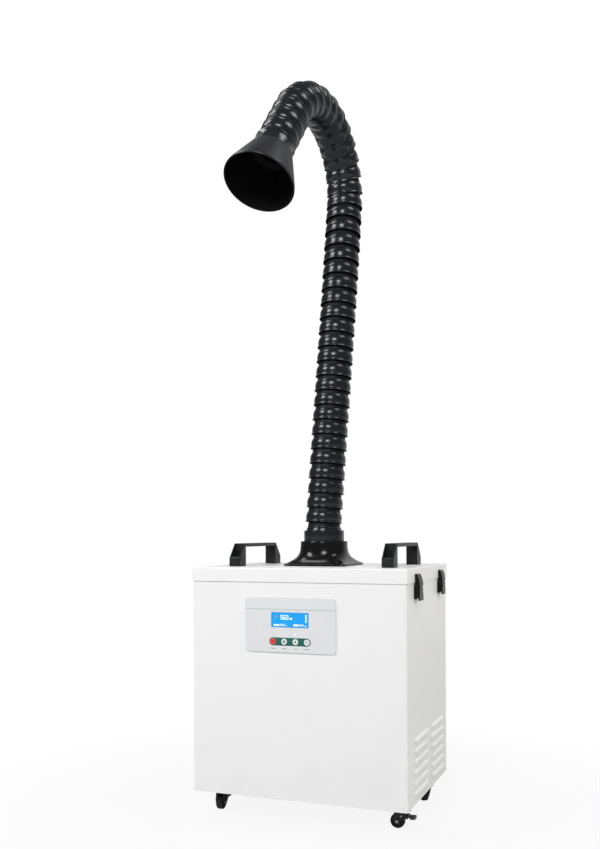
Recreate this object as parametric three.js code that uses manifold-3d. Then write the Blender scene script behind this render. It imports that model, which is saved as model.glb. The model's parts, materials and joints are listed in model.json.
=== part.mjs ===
// Mobile fume extractor: a sheet steel filter cabinet on casters, with a jointed suction arm and a hood.
// Millimetres. The origin is the middle of the base pan's underside: +X right, +Y back, +Z up.
import * as THREE from "three";
import { mergeVertices } from "three/addons/utils/BufferGeometryUtils.js";
import Module from "manifold-3d";

const wasm = await Module();
wasm.setup();

// Clearances
const GAP = 0.3;
const RUNNING_GAP = 0.5;

// Cabinet and lid
const SHEET = 1.5;
const CABINET_WIDTH = 436;
const CABINET_DEPTH = 328;
const CABINET_HEIGHT = 438.5;
const PAN_RECESS = 4;
const MOUTH_FLANGE = 14;
const GASKET_THICK = 3.4;
const GASKET_WIDTH = 10;
const LID_PLAY = 0.5;
const LID_SKIRT = 27;
const DUCT_HOLE_RADIUS = 36;
const REAR_WINDOW_MARGIN = 22;
const REAR_PANEL_OVERLAP = 12;

// Louvres in the right side
const LOUVRE_ROWS = 6;
const LOUVRE_COLUMNS = [-65, 73];
const LOUVRE_LENGTH = 98;
const LOUVRE_HEIGHT = 9;
const LOUVRE_REACH = 5;
const LOUVRE_PITCH = 20;
const LOUVRE_TOP = 125;

// Control panel
const PANEL_CENTRE_X = -10.5;
const PANEL_DROP = 103.5;
const PANEL_WIDTH = 185;
const PANEL_HEIGHT = 105;
const PANEL_THICK = 2;
const PANEL_CORNER = 7;
const PANEL_WINDOW_MARGIN = 12;
const DISPLAY_WIDTH = 76.4;
const DISPLAY_HEIGHT = 28.4;
const DISPLAY_RISE = 10;
const DISPLAY_SETBACK = 0.4;
const BUTTON_COUNT = 4;
const BUTTON_PITCH = 23.2;
const BUTTON_RADIUS = 5.7;
const BUTTON_FLANGE_RADIUS = 7.2;
const BUTTON_FLANGE_THICK = 1.2;
const BUTTON_PROUD = 1.2;
const BUTTON_DROP = 31.5;
const BUTTON_TRAVEL = 0.8;
const SWITCH_RADIUS = 3.5;
const SWITCH_HEIGHT = 3.8;
const BOARD_THICK = 1.6;
const BOARD_POST_RADIUS = 3;
const BOARD_POST_INSET = 9;

// Carrying handles on the lid
const HANDLE_INSET = 60;
const HANDLE_SHIFT = 6;
const HANDLE_LENGTH = 214;
const HANDLE_WIDTH = 24;
const HANDLE_HEIGHT = 46;
const HANDLE_LEG = 30;
const HANDLE_GRIP = 7;
const HANDLE_FOOT_HEIGHT = 17;
const HANDLE_SLOPE = 25;
const HANDLE_WALL = 2.5;

// Toggle latches
const LATCH_INSET = 67;
const LATCH_WIDTH = 28;
const LATCH_PLATE = 1.5;
const LATCH_CHEEK = 2;
const LATCH_HUB_RADIUS = 4.6;
const LATCH_PIN_RADIUS = 1.6;
const LATCH_LEVER_THICK = 4;
const LATCH_PIN_DROP = 12.8;
const LATCH_BASE_LENGTH = 18;
const LATCH_LEVER_LENGTH = 21;
const LATCH_CLAW_HEIGHT = 24;
const LATCH_CLAW_TIP = 4;

// Swivel casters
const CASTER_SIDE_INSET = 29;
const CASTER_END_INSET = 72;
const WHEEL_RADIUS = 14;
const WHEEL_WIDTH = 13;
const CASTER_HEIGHT = 55;
const CASTER_TRAIL = 9;
const CASTER_PAD_RADIUS = 17;
const CASTER_BLOCK_HEIGHT = 20.5;
const CASTER_CHEEK = 2.5;
const CASTER_CROWN = 3;
const KINGPIN_RADIUS = 4;
const KINGPIN_HEAD_RADIUS = 7;
const KINGPIN_HEAD_THICK = 2.4;
const AXLE_RADIUS = 2.5;
const PEDAL_LEAD = 10;
const PEDAL_DROP = 10.5;
const PEDAL_LENGTH = 10;
const PEDAL_WIDTH = 16;
const PEDAL_THICK = 3;
const PEDAL_PIN_RADIUS = 1.6;

// Filters and blower
const SHELF_HEIGHT = 176;
const SHELF_OPENING_MARGIN = 22;
const FILTER_WIDTH = 330;
const FILTER_DEPTH = 260;
const MAIN_FILTER_HEIGHT = 150;
const FILTER_PLEATS = 16;
const FILTER_PLEAT_DEPTH = 12;
const PRE_FILTER_HEIGHT = 22;
const PRE_FILTER_RIM = 12;
const PRE_FILTER_PAD = 10;
const BLOWER_X = -40;
const BLOWER_Y = 22;
const BLOWER_FLOOR = 44;
const BLOWER_HEIGHT = 92;
const BLOWER_WALL = 2;
const SCROLL_START = 68;
const SCROLL_END = 118;
const SCROLL_STEPS = 20;
const BLOWER_INLET_RADIUS = 46;
const BLOWER_LEG = 12;
const IMPELLER_RADIUS = 58;
const IMPELLER_HEIGHT = 66;
const IMPELLER_PLATE = 3;
const IMPELLER_BLADES = 10;
const IMPELLER_BLADE_LENGTH = 26;
const IMPELLER_BLADE_THICK = 2.5;
const IMPELLER_HUB_RADIUS = 15;
const MOTOR_RADIUS = 44;
const MOTOR_HEIGHT = 38;
const MOTOR_SHAFT_RADIUS = 5;
const MOTOR_SHAFT_LENGTH = 34;

// Power inlet in the rear panel
const INLET_INSET = 78;
const INLET_Z = 60;
const INLET_WIDTH = 27;
const INLET_HEIGHT = 20;
const INLET_DEPTH = 24;
const INLET_FRAME = 10;
const INLET_FRAME_THICK = 3;

// Duct flange on the lid
const FLANGE_SIZE = 131;
const FLANGE_EDGE = 4;
const FLANGE_CORNER = 6;
const FLANGE_HEIGHT = 50;
const FLANGE_WAIST_HEIGHT = 13;
const FLANGE_WAIST_RADIUS = 54;
const FLANGE_NECK_HEIGHT = 26;
const FLANGE_TOP_RADIUS = 48.4;
const FLANGE_SEAT_HEIGHT = 30;

// Arm: ball and socket rings threaded one into the next
const COLLAR_RADIUS = 41.5;
const COLLAR_HEIGHT = 72;
const ARM_BASE_RISE = 98;
const RING_PITCH = 30.3;
const RING_LIP_DROP = 9;
const RING_LIP_RADIUS = 37.5;
const RING_SHOULDER_RADIUS = 35.9;
const RING_SHOULDER_RISE = 8;
const RING_NECK_RADIUS = 32.6;
const RING_NECK_RISE = 12.5;
const BALL_RADIUS = 34.2;
const BALL_CLEARANCE = 0.7;
const BALL_WALL = 2.6;
const BORE_RADIUS = 28.5;
const RING_SIDES = 12;
const SECTION_RINGS = [4, 4, 4, 3, 3, 3, 3, 3, 2, 2, 2, 2, 2];

// Arm pose: a column that leans, eases back, arches forward, turns a little and runs straight to the hood
const LEAN_RIGHT_ANGLE = 3;
const LEAN_BACK_ANGLE = 3.97;
const EASE_RING_COUNT = 13.15;
const EASE_ANGLE = 0.66;
const EASE_HEADING_ANGLE = -150.2;
const ARCH_RING_COUNT = 21.47;
const ARCH_ANGLE = 13.2;
const ARCH_HEADING_ANGLE = -4.97;
const TURN_RING_COUNT = 29.13;
const TURN_HEADING_ANGLE = 2.7;
const STRAIGHT_RING_COUNT = 33.18;

// Hood
const HOOD_LENGTH = 91;
const HOOD_NECK_RADIUS = 38;
const HOOD_MOUTH_RADIUS = 66.6;
const HOOD_WALL = 2.2;
const HOOD_RIM_LENGTH = 6;
const HOOD_RIM_FLARE = 1.2;
const HOOD_NECK_LENGTH = 14;
const HOOD_HEADING_ANGLE = -12;
const HOOD_DIP_ANGLE = 58.8;
const HOOD_SIDES = 24;

// Levels worked out from the sizes above
const shellBottom = -PAN_RECESS;
const shellTop = shellBottom + CABINET_HEIGHT;
const lidUnder = shellTop + GASKET_THICK + 2 * GAP;
const lidTop = lidUnder + SHEET;
const lidBottom = lidTop - LID_SKIRT;
const halfWidth = CABINET_WIDTH / 2;
const halfDepth = CABINET_DEPTH / 2;
const innerHalfWidth = halfWidth - SHEET;
const innerHalfDepth = halfDepth - SHEET;
const lidHalfWidth = halfWidth + LID_PLAY + SHEET;
const lidHalfDepth = halfDepth + LID_PLAY + SHEET;
const panTop = SHEET;
const panelCentreZ = shellTop - PANEL_DROP;
const casterX = halfWidth - CASTER_SIDE_INSET;
const casterY = halfDepth - CASTER_END_INSET;
const latchY = halfDepth - LATCH_INSET;
const inletX = INLET_INSET - halfWidth;
const RAD = Math.PI / 180;

// Materials
const finish = (color, roughness, metalness) =>
  new THREE.MeshStandardMaterial({ color, roughness, metalness });
const whiteSteel = finish(0xe9e9eb, 0.45, 0.1);
const zincSteel = finish(0xb4b6b8, 0.4, 0.9);
const blackPlastic = finish(0x17181b, 0.35, 0);
const greyPlastic = finish(0x35373b, 0.5, 0);
const paleFilm = finish(0xdfe1de, 0.5, 0);
const blueGlass = finish(0x1f7ed0, 0.15, 0);
const whiteKey = finish(0xdcdfe0, 0.4, 0);
const redKey = finish(0xc2202b, 0.4, 0);
const greenBoard = finish(0x1c5b3a, 0.5, 0);
const filterMedia = finish(0xe4e2d6, 0.95, 0);
const rubber = finish(0x202022, 0.8, 0);

// Joining and cutting of closed meshes
function solidOf(geometry) {
  const bare = geometry.clone();
  bare.deleteAttribute("normal");
  bare.deleteAttribute("uv");
  const merged = mergeVertices(bare, 1e-4);
  const corners = merged.index.array;
  const kept = [];
  for (let i = 0; i < corners.length; i += 3) {
    const [a, b, c] = [corners[i], corners[i + 1], corners[i + 2]];
    if (a !== b && b !== c && c !== a) kept.push(a, b, c);
  }
  return new wasm.Manifold(
    new wasm.Mesh({
      numProp: 3,
      vertProperties: new Float32Array(merged.attributes.position.array),
      triVerts: new Uint32Array(kept),
    }),
  );
}

function geometryOf(solid) {
  const mesh = solid.getMesh();
  return new THREE.BufferGeometry()
    .setAttribute("position", new THREE.BufferAttribute(new Float32Array(mesh.vertProperties), 3))
    .setIndex(new THREE.BufferAttribute(new Uint32Array(mesh.triVerts), 1));
}

const join = (...solids) => solids.reduce((whole, piece) => whole.add(piece));
const cut = (solid, ...tools) => tools.reduce((whole, tool) => whole.subtract(tool), solid);

function box(x0, x1, y0, y1, z0, z1) {
  const geometry = new THREE.BoxGeometry(x1 - x0, y1 - y0, z1 - z0);
  return solidOf(geometry.translate((x0 + x1) / 2, (y0 + y1) / 2, (z0 + z1) / 2));
}

// A rod between two points
function rod(from, to, radius, sides = 16) {
  const start = new THREE.Vector3(...from);
  const along = new THREE.Vector3(...to).sub(start);
  const turn = new THREE.Quaternion().setFromUnitVectors(
    new THREE.Vector3(0, 1, 0),
    along.clone().normalize(),
  );
  const geometry = new THREE.CylinderGeometry(radius, radius, along.length(), sides).applyQuaternion(turn);
  return solidOf(geometry.translate(...start.addScaledVector(along, 0.5).toArray()));
}

// A turned piece about the Z axis; the profile of [radius, height] points runs up the outside and closes
function turned(profile, sides) {
  const points = [...profile, profile[0]].map(([radius, height]) => new THREE.Vector2(radius, height));
  return solidOf(new THREE.LatheGeometry(points, sides).rotateX(Math.PI / 2));
}

// An outline of [across, up] points drawn out along X or Y
function drawn(outline, axis, from, to) {
  const shape = new THREE.Shape(outline.map(([u, v]) => new THREE.Vector2(u, v)));
  const geometry = new THREE.ExtrudeGeometry(shape, { depth: to - from, bevelEnabled: false });
  geometry.translate(0, 0, from);
  if (axis === "z") return solidOf(geometry);
  if (axis === "x") return solidOf(geometry.applyMatrix4(new THREE.Matrix4().makeBasis(
    new THREE.Vector3(0, 1, 0), new THREE.Vector3(0, 0, 1), new THREE.Vector3(1, 0, 0))));
  geometry.translate(0, 0, -from - to);
  return solidOf(geometry.applyMatrix4(new THREE.Matrix4().makeBasis(
    new THREE.Vector3(1, 0, 0), new THREE.Vector3(0, 0, 1), new THREE.Vector3(0, -1, 0))));
}

// A skin over loops of points; the last loop joins the first, as round a tube's wall
function skin(loops) {
  const sides = loops[0].length;
  const positions = loops.flat().flatMap((point) => point.toArray());
  const index = [];
  loops.forEach((loop, i) => {
    const next = (i + 1) % loops.length;
    for (let j = 0; j < sides; j += 1) {
      const k = (j + 1) % sides;
      const [a, b, c, d] = [i * sides + j, i * sides + k, next * sides + k, next * sides + j];
      index.push(a, b, c, a, c, d);
    }
  });
  const geometry = new THREE.BufferGeometry();
  geometry.setAttribute("position", new THREE.Float32BufferAttribute(positions, 3));
  return solidOf(geometry.setIndex(index));
}

const model = new THREE.Group();
function place(name, solid, material) {
  const mesh = new THREE.Mesh(geometryOf(solid), material);
  mesh.name = name;
  model.add(mesh);
}

const mirrored = (solid) => solid.mirror([1, 0, 0]);

// Cabinet
const louvreProfile = (reach, height) => [
  [halfWidth - SHEET / 2, height],
  [halfWidth - SHEET / 2, 0],
  [halfWidth + reach, 0],
  [halfWidth + reach * 0.8, height * 0.45],
];

function louvres() {
  const hoods = [];
  const throats = [];
  for (const middle of LOUVRE_COLUMNS) {
    for (let row = 0; row < LOUVRE_ROWS; row += 1) {
      const foot = LOUVRE_TOP - LOUVRE_HEIGHT - row * LOUVRE_PITCH;
      const from = middle - LOUVRE_LENGTH / 2;
      const to = middle + LOUVRE_LENGTH / 2;
      const lift = ([x, z]) => [x, z + foot];
      hoods.push(drawn(louvreProfile(LOUVRE_REACH, LOUVRE_HEIGHT).map(lift), "y", from, to));
      const inner = [
        [innerHalfWidth - SHEET, LOUVRE_HEIGHT - 2 * SHEET],
        [innerHalfWidth - SHEET, -SHEET / 2],
        [halfWidth + LOUVRE_REACH - SHEET, -SHEET / 2],
        [halfWidth + LOUVRE_REACH * 0.8 - SHEET, LOUVRE_HEIGHT * 0.45 - SHEET / 2],
        [halfWidth - SHEET / 2, LOUVRE_HEIGHT - 2 * SHEET],
      ];
      throats.push(drawn(inner.map(lift), "y", from + SHEET, to - SHEET));
    }
  }
  return { hoods, throats };
}

const panelWindow = {
  left: PANEL_CENTRE_X - PANEL_WIDTH / 2 + PANEL_WINDOW_MARGIN,
  right: PANEL_CENTRE_X + PANEL_WIDTH / 2 - PANEL_WINDOW_MARGIN,
  bottom: panelCentreZ - PANEL_HEIGHT / 2 + PANEL_WINDOW_MARGIN,
  top: panelCentreZ + PANEL_HEIGHT / 2 - PANEL_WINDOW_MARGIN,
};
const rearWindow = {
  half: halfWidth - REAR_WINDOW_MARGIN,
  bottom: panTop + REAR_WINDOW_MARGIN,
  top: shellTop - 2 * REAR_WINDOW_MARGIN,
};

function cabinetShell() {
  const wrap = box(-halfWidth, halfWidth, -halfDepth, halfDepth, shellBottom, shellTop);
  const inside = box(
    -innerHalfWidth, innerHalfWidth, -innerHalfDepth, innerHalfDepth, shellBottom - 1, shellTop - SHEET,
  );
  const mouth = box(
    -innerHalfWidth + MOUTH_FLANGE, innerHalfWidth - MOUTH_FLANGE,
    -innerHalfDepth + MOUTH_FLANGE, innerHalfDepth - MOUTH_FLANGE, shellTop - 2 * SHEET, shellTop + 1,
  );
  const rear = box(
    -rearWindow.half, rearWindow.half, innerHalfDepth - 1, halfDepth + 1,
    rearWindow.bottom, rearWindow.top,
  );
  const front = box(
    panelWindow.left, panelWindow.right, -halfDepth - 1, -innerHalfDepth + 1,
    panelWindow.bottom, panelWindow.top,
  );
  const { hoods, throats } = louvres();
  return cut(join(cut(wrap, inside, mouth, rear, front), ...hoods), ...throats);
}
place("cabinet_shell", cabinetShell(), whiteSteel);

function rearPanel() {
  const near = halfDepth + GAP;
  const far = near + SHEET;
  const half = rearWindow.half + REAR_PANEL_OVERLAP;
  const plate = box(
    -half, half, near, far,
    rearWindow.bottom - REAR_PANEL_OVERLAP, rearWindow.top + REAR_PANEL_OVERLAP,
  );
  const hole = box(
    inletX - INLET_WIDTH / 2 - GAP, inletX + INLET_WIDTH / 2 + GAP, near - 1, far + 1,
    INLET_Z - INLET_HEIGHT / 2 - GAP, INLET_Z + INLET_HEIGHT / 2 + GAP,
  );
  return cut(plate, hole);
}
place("rear_panel", rearPanel(), whiteSteel);

function powerInlet() {
  const face = halfDepth + GAP + SHEET + GAP;
  const halfW = INLET_WIDTH / 2;
  const halfH = INLET_HEIGHT / 2;
  const body = box(
    inletX - halfW, inletX + halfW, face - INLET_DEPTH, face + 1, INLET_Z - halfH, INLET_Z + halfH,
  );
  const frame = box(
    inletX - halfW - INLET_FRAME, inletX + halfW + INLET_FRAME, face, face + INLET_FRAME_THICK,
    INLET_Z - halfH - INLET_FRAME / 2, INLET_Z + halfH + INLET_FRAME / 2,
  );
  const wall = 2 * SHEET;
  const socket = box(
    inletX - halfW + wall, inletX + halfW - wall, face - INLET_DEPTH + wall, face + INLET_FRAME_THICK + 1,
    INLET_Z - halfH + wall, INLET_Z + halfH - wall,
  );
  return cut(join(body, frame), socket);
}
place("power_inlet", powerInlet(), blackPlastic);

const casterSpots = [
  { name: "front_left", x: -casterX, y: -casterY, heading: -90, pedal: true },
  { name: "front_right", x: casterX, y: -casterY, heading: 180, pedal: true },
  { name: "rear_left", x: -casterX, y: casterY, heading: 70, pedal: false },
  { name: "rear_right", x: casterX, y: casterY, heading: 120, pedal: false },
];

function basePan() {
  const plate = box(
    -innerHalfWidth + GAP, innerHalfWidth - GAP, -innerHalfDepth + GAP, innerHalfDepth - GAP, 0, panTop,
  );
  const pads = casterSpots.map(({ x, y }) =>
    rod([x, y, -CASTER_BLOCK_HEIGHT], [x, y, panTop / 2], CASTER_PAD_RADIUS));
  const holes = casterSpots.map(({ x, y }) =>
    rod([x, y, -CASTER_BLOCK_HEIGHT - 1], [x, y, panTop + 1], KINGPIN_RADIUS + RUNNING_GAP));
  return cut(join(plate, ...pads), ...holes);
}
place("base_pan", basePan(), zincSteel);

// Casters: the fork turns on its kingpin, and the wheel turns on the fork's axle
const padUnder = -CASTER_BLOCK_HEIGHT;
const crownTop = padUnder - GAP;
const axleLevel = WHEEL_RADIUS - CASTER_HEIGHT;
const cheekInside = WHEEL_WIDTH / 2 + RUNNING_GAP;
const cheekOutside = cheekInside + CASTER_CHEEK;

function casterFork() {
  const crownBottom = crownTop - CASTER_CROWN;
  const reach = AXLE_RADIUS + CASTER_CHEEK;
  const cheekOutline = [
    [-CASTER_PAD_RADIUS * 0.7, crownBottom + CASTER_CROWN / 2],
    [CASTER_TRAIL - reach, axleLevel - reach],
    [CASTER_TRAIL + reach, axleLevel - reach],
    [CASTER_TRAIL + reach * 1.6, axleLevel + reach],
    [CASTER_PAD_RADIUS * 0.8, crownBottom + CASTER_CROWN / 2],
  ];
  const crown = box(
    -CASTER_PAD_RADIUS * 0.7, CASTER_PAD_RADIUS * 0.8, -cheekOutside, cheekOutside, crownBottom, crownTop,
  );
  const cheeks = [1, -1].map((side) => {
    const from = side > 0 ? cheekInside : -cheekOutside;
    return drawn(cheekOutline, "y", from, from + CASTER_CHEEK);
  });
  const kingpinTop = panTop + GAP + KINGPIN_HEAD_THICK;
  const kingpin = rod([0, 0, crownTop - CASTER_CROWN / 2], [0, 0, kingpinTop], KINGPIN_RADIUS);
  const head = rod([0, 0, panTop + GAP], [0, 0, kingpinTop], KINGPIN_HEAD_RADIUS);
  const axle = rod(
    [CASTER_TRAIL, -cheekOutside, axleLevel], [CASTER_TRAIL, cheekOutside, axleLevel], AXLE_RADIUS,
  );
  return join(crown, ...cheeks, kingpin, head, axle);
}

function casterWheel() {
  const half = WHEEL_WIDTH / 2;
  const bore = AXLE_RADIUS + RUNNING_GAP;
  const crowned = WHEEL_RADIUS - 2;
  const profile = [
    [bore, -half],
    [crowned, -half],
    [WHEEL_RADIUS, -half / 2],
    [WHEEL_RADIUS, half / 2],
    [crowned, half],
    [bore, half],
  ];
  return turned(profile, 20).rotate([90, 0, 0]).translate([CASTER_TRAIL, 0, axleLevel]);
}

// The brake pedal hangs on a pin pressed through the fork's cheeks, ahead of the wheel
const pedalPin = { along: -PEDAL_LEAD, up: crownTop - PEDAL_DROP };

function pedalCarrier() {
  const reach = PEDAL_PIN_RADIUS + 1.4;
  const ears = [1, -1].map((side) => {
    const from = side > 0 ? cheekInside : -cheekOutside;
    return box(
      pedalPin.along - reach, CASTER_TRAIL / 2, from, from + CASTER_CHEEK,
      pedalPin.up - reach, pedalPin.up + reach,
    );
  });
  const pin = rod(
    [pedalPin.along, -cheekOutside, pedalPin.up], [pedalPin.along, cheekOutside, pedalPin.up],
    PEDAL_PIN_RADIUS, 12,
  );
  return join(...ears, pin);
}

function brakePedal() {
  const half = cheekInside - RUNNING_GAP;
  const hubRadius = PEDAL_PIN_RADIUS + RUNNING_GAP + 1.2;
  const hub = rod([pedalPin.along, -half, pedalPin.up], [pedalPin.along, half, pedalPin.up], hubRadius, 12);
  const start = pedalPin.along - hubRadius - CASTER_CHEEK;
  const tongue = box(
    start - 1, pedalPin.along, -half, half,
    pedalPin.up - PEDAL_THICK / 2, pedalPin.up + PEDAL_THICK / 2,
  );
  const tread = box(
    start - PEDAL_LENGTH, start, -PEDAL_WIDTH / 2, PEDAL_WIDTH / 2,
    pedalPin.up - PEDAL_THICK * 1.2, pedalPin.up + PEDAL_THICK / 2,
  );
  const bore = rod(
    [pedalPin.along, -half - 1, pedalPin.up], [pedalPin.along, half + 1, pedalPin.up],
    PEDAL_PIN_RADIUS + RUNNING_GAP, 12,
  );
  return cut(join(hub, tongue, tread), bore);
}

for (const { name, x, y, heading, pedal } of casterSpots) {
  const set = (solid) => solid.rotate([0, 0, heading]).translate([x, y, 0]);
  place(`caster_fork_${name}`, set(pedal ? join(casterFork(), pedalCarrier()) : casterFork()), blackPlastic);
  place(`caster_wheel_${name}`, set(casterWheel()), rubber);
  if (pedal) place(`brake_pedal_${name}`, set(brakePedal()), greyPlastic);
}

// Filters on their shelf
function filterShelf() {
  const plate = box(
    -innerHalfWidth + GAP, innerHalfWidth - GAP, -innerHalfDepth + GAP, innerHalfDepth - GAP,
    SHELF_HEIGHT, SHELF_HEIGHT + SHEET,
  );
  const halfW = FILTER_WIDTH / 2 - SHELF_OPENING_MARGIN;
  const halfD = FILTER_DEPTH / 2 - SHELF_OPENING_MARGIN;
  const opening = box(-halfW, halfW, -halfD, halfD, SHELF_HEIGHT - 1, SHELF_HEIGHT + SHEET + 1);
  return cut(plate, opening);
}
place("filter_shelf", filterShelf(), zincSteel);

const filterFoot = SHELF_HEIGHT + SHEET + GAP;
const filterHead = filterFoot + MAIN_FILTER_HEIGHT;

function mainFilter() {
  const half = FILTER_WIDTH / 2;
  const pitch = FILTER_WIDTH / FILTER_PLEATS;
  const outline = [[-half, filterFoot], [half, filterFoot], [half, filterHead]];
  for (let pleat = 0; pleat < FILTER_PLEATS; pleat += 1) {
    const right = half - pleat * pitch;
    outline.push([right - pitch / 2, filterHead - FILTER_PLEAT_DEPTH], [right - pitch, filterHead]);
  }
  return drawn(outline, "y", -FILTER_DEPTH / 2, FILTER_DEPTH / 2);
}
place("main_filter", mainFilter(), filterMedia);

function preFilter() {
  const foot = filterHead + GAP;
  const halfW = FILTER_WIDTH / 2;
  const halfD = FILTER_DEPTH / 2;
  const rim = box(-halfW, halfW, -halfD, halfD, foot, foot + PRE_FILTER_HEIGHT);
  const well = box(
    -halfW + PRE_FILTER_RIM, halfW - PRE_FILTER_RIM, -halfD + PRE_FILTER_RIM, halfD - PRE_FILTER_RIM,
    foot + PRE_FILTER_PAD, foot + PRE_FILTER_HEIGHT + 1,
  );
  return cut(rim, well);
}
place("pre_filter", preFilter(), filterMedia);

// Blower: a scroll on legs, its motor below and its wheel inside
function scrollOutline(offset) {
  const points = [];
  for (let step = 0; step <= SCROLL_STEPS; step += 1) {
    const share = step / SCROLL_STEPS;
    const radius = SCROLL_START + (SCROLL_END - SCROLL_START) * share - offset;
    const angle = -Math.PI / 2 + 2 * Math.PI * share;
    points.push([BLOWER_X + radius * Math.cos(angle), BLOWER_Y + radius * Math.sin(angle)]);
  }
  const outlet = innerHalfWidth - GAP + (offset > 0 ? offset : 0);
  points.push([outlet, BLOWER_Y - SCROLL_END + offset]);
  points.push([outlet, BLOWER_Y - SCROLL_START - offset]);
  return points;
}

const blowerTop = BLOWER_FLOOR + BLOWER_HEIGHT;

function blowerHousing() {
  const outside = drawn(scrollOutline(0), "z", BLOWER_FLOOR, blowerTop);
  const inside = drawn(
    scrollOutline(BLOWER_WALL), "z", BLOWER_FLOOR + BLOWER_WALL, blowerTop - BLOWER_WALL,
  );
  const inlet = rod(
    [BLOWER_X, BLOWER_Y, blowerTop - 2 * BLOWER_WALL], [BLOWER_X, BLOWER_Y, blowerTop + 1],
    BLOWER_INLET_RADIUS, 28,
  );
  const shaftHole = rod(
    [BLOWER_X, BLOWER_Y, BLOWER_FLOOR - 1], [BLOWER_X, BLOWER_Y, BLOWER_FLOOR + 2 * BLOWER_WALL],
    MOTOR_SHAFT_RADIUS + 3,
  );
  const spread = SCROLL_START * 0.8;
  const legs = [[1, 1], [1, -1], [-1, 1], [-1, -1]].map(([sx, sy]) => {
    const x = BLOWER_X + sx * spread;
    const y = BLOWER_Y + sy * spread;
    const half = BLOWER_LEG / 2;
    return box(x - half, x + half, y - half, y + half, panTop + GAP, BLOWER_FLOOR + BLOWER_WALL / 2);
  });
  return join(cut(outside, inside, inlet, shaftHole), ...legs);
}
place("blower_housing", blowerHousing(), zincSteel);

function blowerMotor() {
  const top = BLOWER_FLOOR - GAP;
  const can = rod([BLOWER_X, BLOWER_Y, top - MOTOR_HEIGHT], [BLOWER_X, BLOWER_Y, top], MOTOR_RADIUS, 28);
  const shaft = rod(
    [BLOWER_X, BLOWER_Y, top - 1], [BLOWER_X, BLOWER_Y, top + MOTOR_SHAFT_LENGTH], MOTOR_SHAFT_RADIUS,
  );
  return join(can, shaft);
}
place("blower_motor", blowerMotor(), greyPlastic);

function impeller() {
  const foot = BLOWER_FLOOR + BLOWER_WALL + 3;
  const plate = rod([0, 0, foot], [0, 0, foot + IMPELLER_PLATE], IMPELLER_RADIUS, 30);
  const hub = rod([0, 0, foot], [0, 0, foot + IMPELLER_HEIGHT / 2], IMPELLER_HUB_RADIUS);
  const blades = [];
  for (let blade = 0; blade < IMPELLER_BLADES; blade += 1) {
    const outer = IMPELLER_RADIUS - 2;
    const vane = box(
      outer - IMPELLER_BLADE_LENGTH, outer, -IMPELLER_BLADE_THICK / 2, IMPELLER_BLADE_THICK / 2,
      foot + IMPELLER_PLATE / 2, foot + IMPELLER_HEIGHT,
    );
    blades.push(vane.rotate([0, 0, (360 / IMPELLER_BLADES) * blade]));
  }
  const shaftEnd = BLOWER_FLOOR + MOTOR_SHAFT_LENGTH + GAP;
  const bore = rod([0, 0, foot - 1], [0, 0, shaftEnd], MOTOR_SHAFT_RADIUS + GAP);
  return cut(join(plate, hub, ...blades), bore).translate([BLOWER_X, BLOWER_Y, 0]);
}
place("impeller", impeller(), greyPlastic);

// Control panel on the front
const panelBack = -halfDepth - GAP;
const panelFace = panelBack - PANEL_THICK;
const displayCentre = panelCentreZ + DISPLAY_RISE;
const buttonLevel = panelCentreZ - BUTTON_DROP;
const buttonX = (n) => PANEL_CENTRE_X + (n - (BUTTON_COUNT - 1) / 2) * BUTTON_PITCH;
const flangeBack = panelBack + GAP + BUTTON_FLANGE_THICK;
const switchFace = flangeBack + BUTTON_TRAVEL + GAP;
const boardFace = switchFace + SWITCH_HEIGHT;

function roundedPlate(halfW, halfH, corner) {
  const points = [];
  const middles = [[1, 1, 0], [-1, 1, 90], [-1, -1, 180], [1, -1, 270]];
  for (const [sx, sz, start] of middles) {
    for (let step = 0; step <= 3; step += 1) {
      const angle = (start + step * 30) * RAD;
      points.push([
        PANEL_CENTRE_X + sx * (halfW - corner) + corner * Math.cos(angle),
        panelCentreZ + sz * (halfH - corner) + corner * Math.sin(angle),
      ]);
    }
  }
  return points;
}

function controlPanel() {
  const outline = roundedPlate(PANEL_WIDTH / 2, PANEL_HEIGHT / 2, PANEL_CORNER);
  const plate = drawn(outline, "y", panelFace, panelBack);
  const halfW = DISPLAY_WIDTH / 2 + GAP;
  const halfH = DISPLAY_HEIGHT / 2 + GAP;
  const window = box(
    PANEL_CENTRE_X - halfW, PANEL_CENTRE_X + halfW, panelFace - 1, panelBack + 1,
    displayCentre - halfH, displayCentre + halfH,
  );
  const holes = [];
  for (let n = 0; n < BUTTON_COUNT; n += 1) {
    const x = buttonX(n);
    holes.push(rod([x, panelFace - 1, buttonLevel], [x, panelBack + 1, buttonLevel], BUTTON_RADIUS + GAP));
  }
  return cut(plate, window, ...holes);
}
place("control_panel", controlPanel(), paleFilm);

place(
  "display",
  box(
    PANEL_CENTRE_X - DISPLAY_WIDTH / 2, PANEL_CENTRE_X + DISPLAY_WIDTH / 2,
    panelFace + DISPLAY_SETBACK, boardFace - GAP,
    displayCentre - DISPLAY_HEIGHT / 2, displayCentre + DISPLAY_HEIGHT / 2,
  ),
  blueGlass,
);

for (let n = 0; n < BUTTON_COUNT; n += 1) {
  const x = buttonX(n);
  const cap = rod([x, panelFace - BUTTON_PROUD, buttonLevel], [x, flangeBack, buttonLevel], BUTTON_RADIUS);
  const flange = rod(
    [x, flangeBack - BUTTON_FLANGE_THICK, buttonLevel], [x, flangeBack, buttonLevel], BUTTON_FLANGE_RADIUS,
  );
  place(`button_${n + 1}`, join(cap, flange), n === 0 ? redKey : whiteKey);
}

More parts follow.
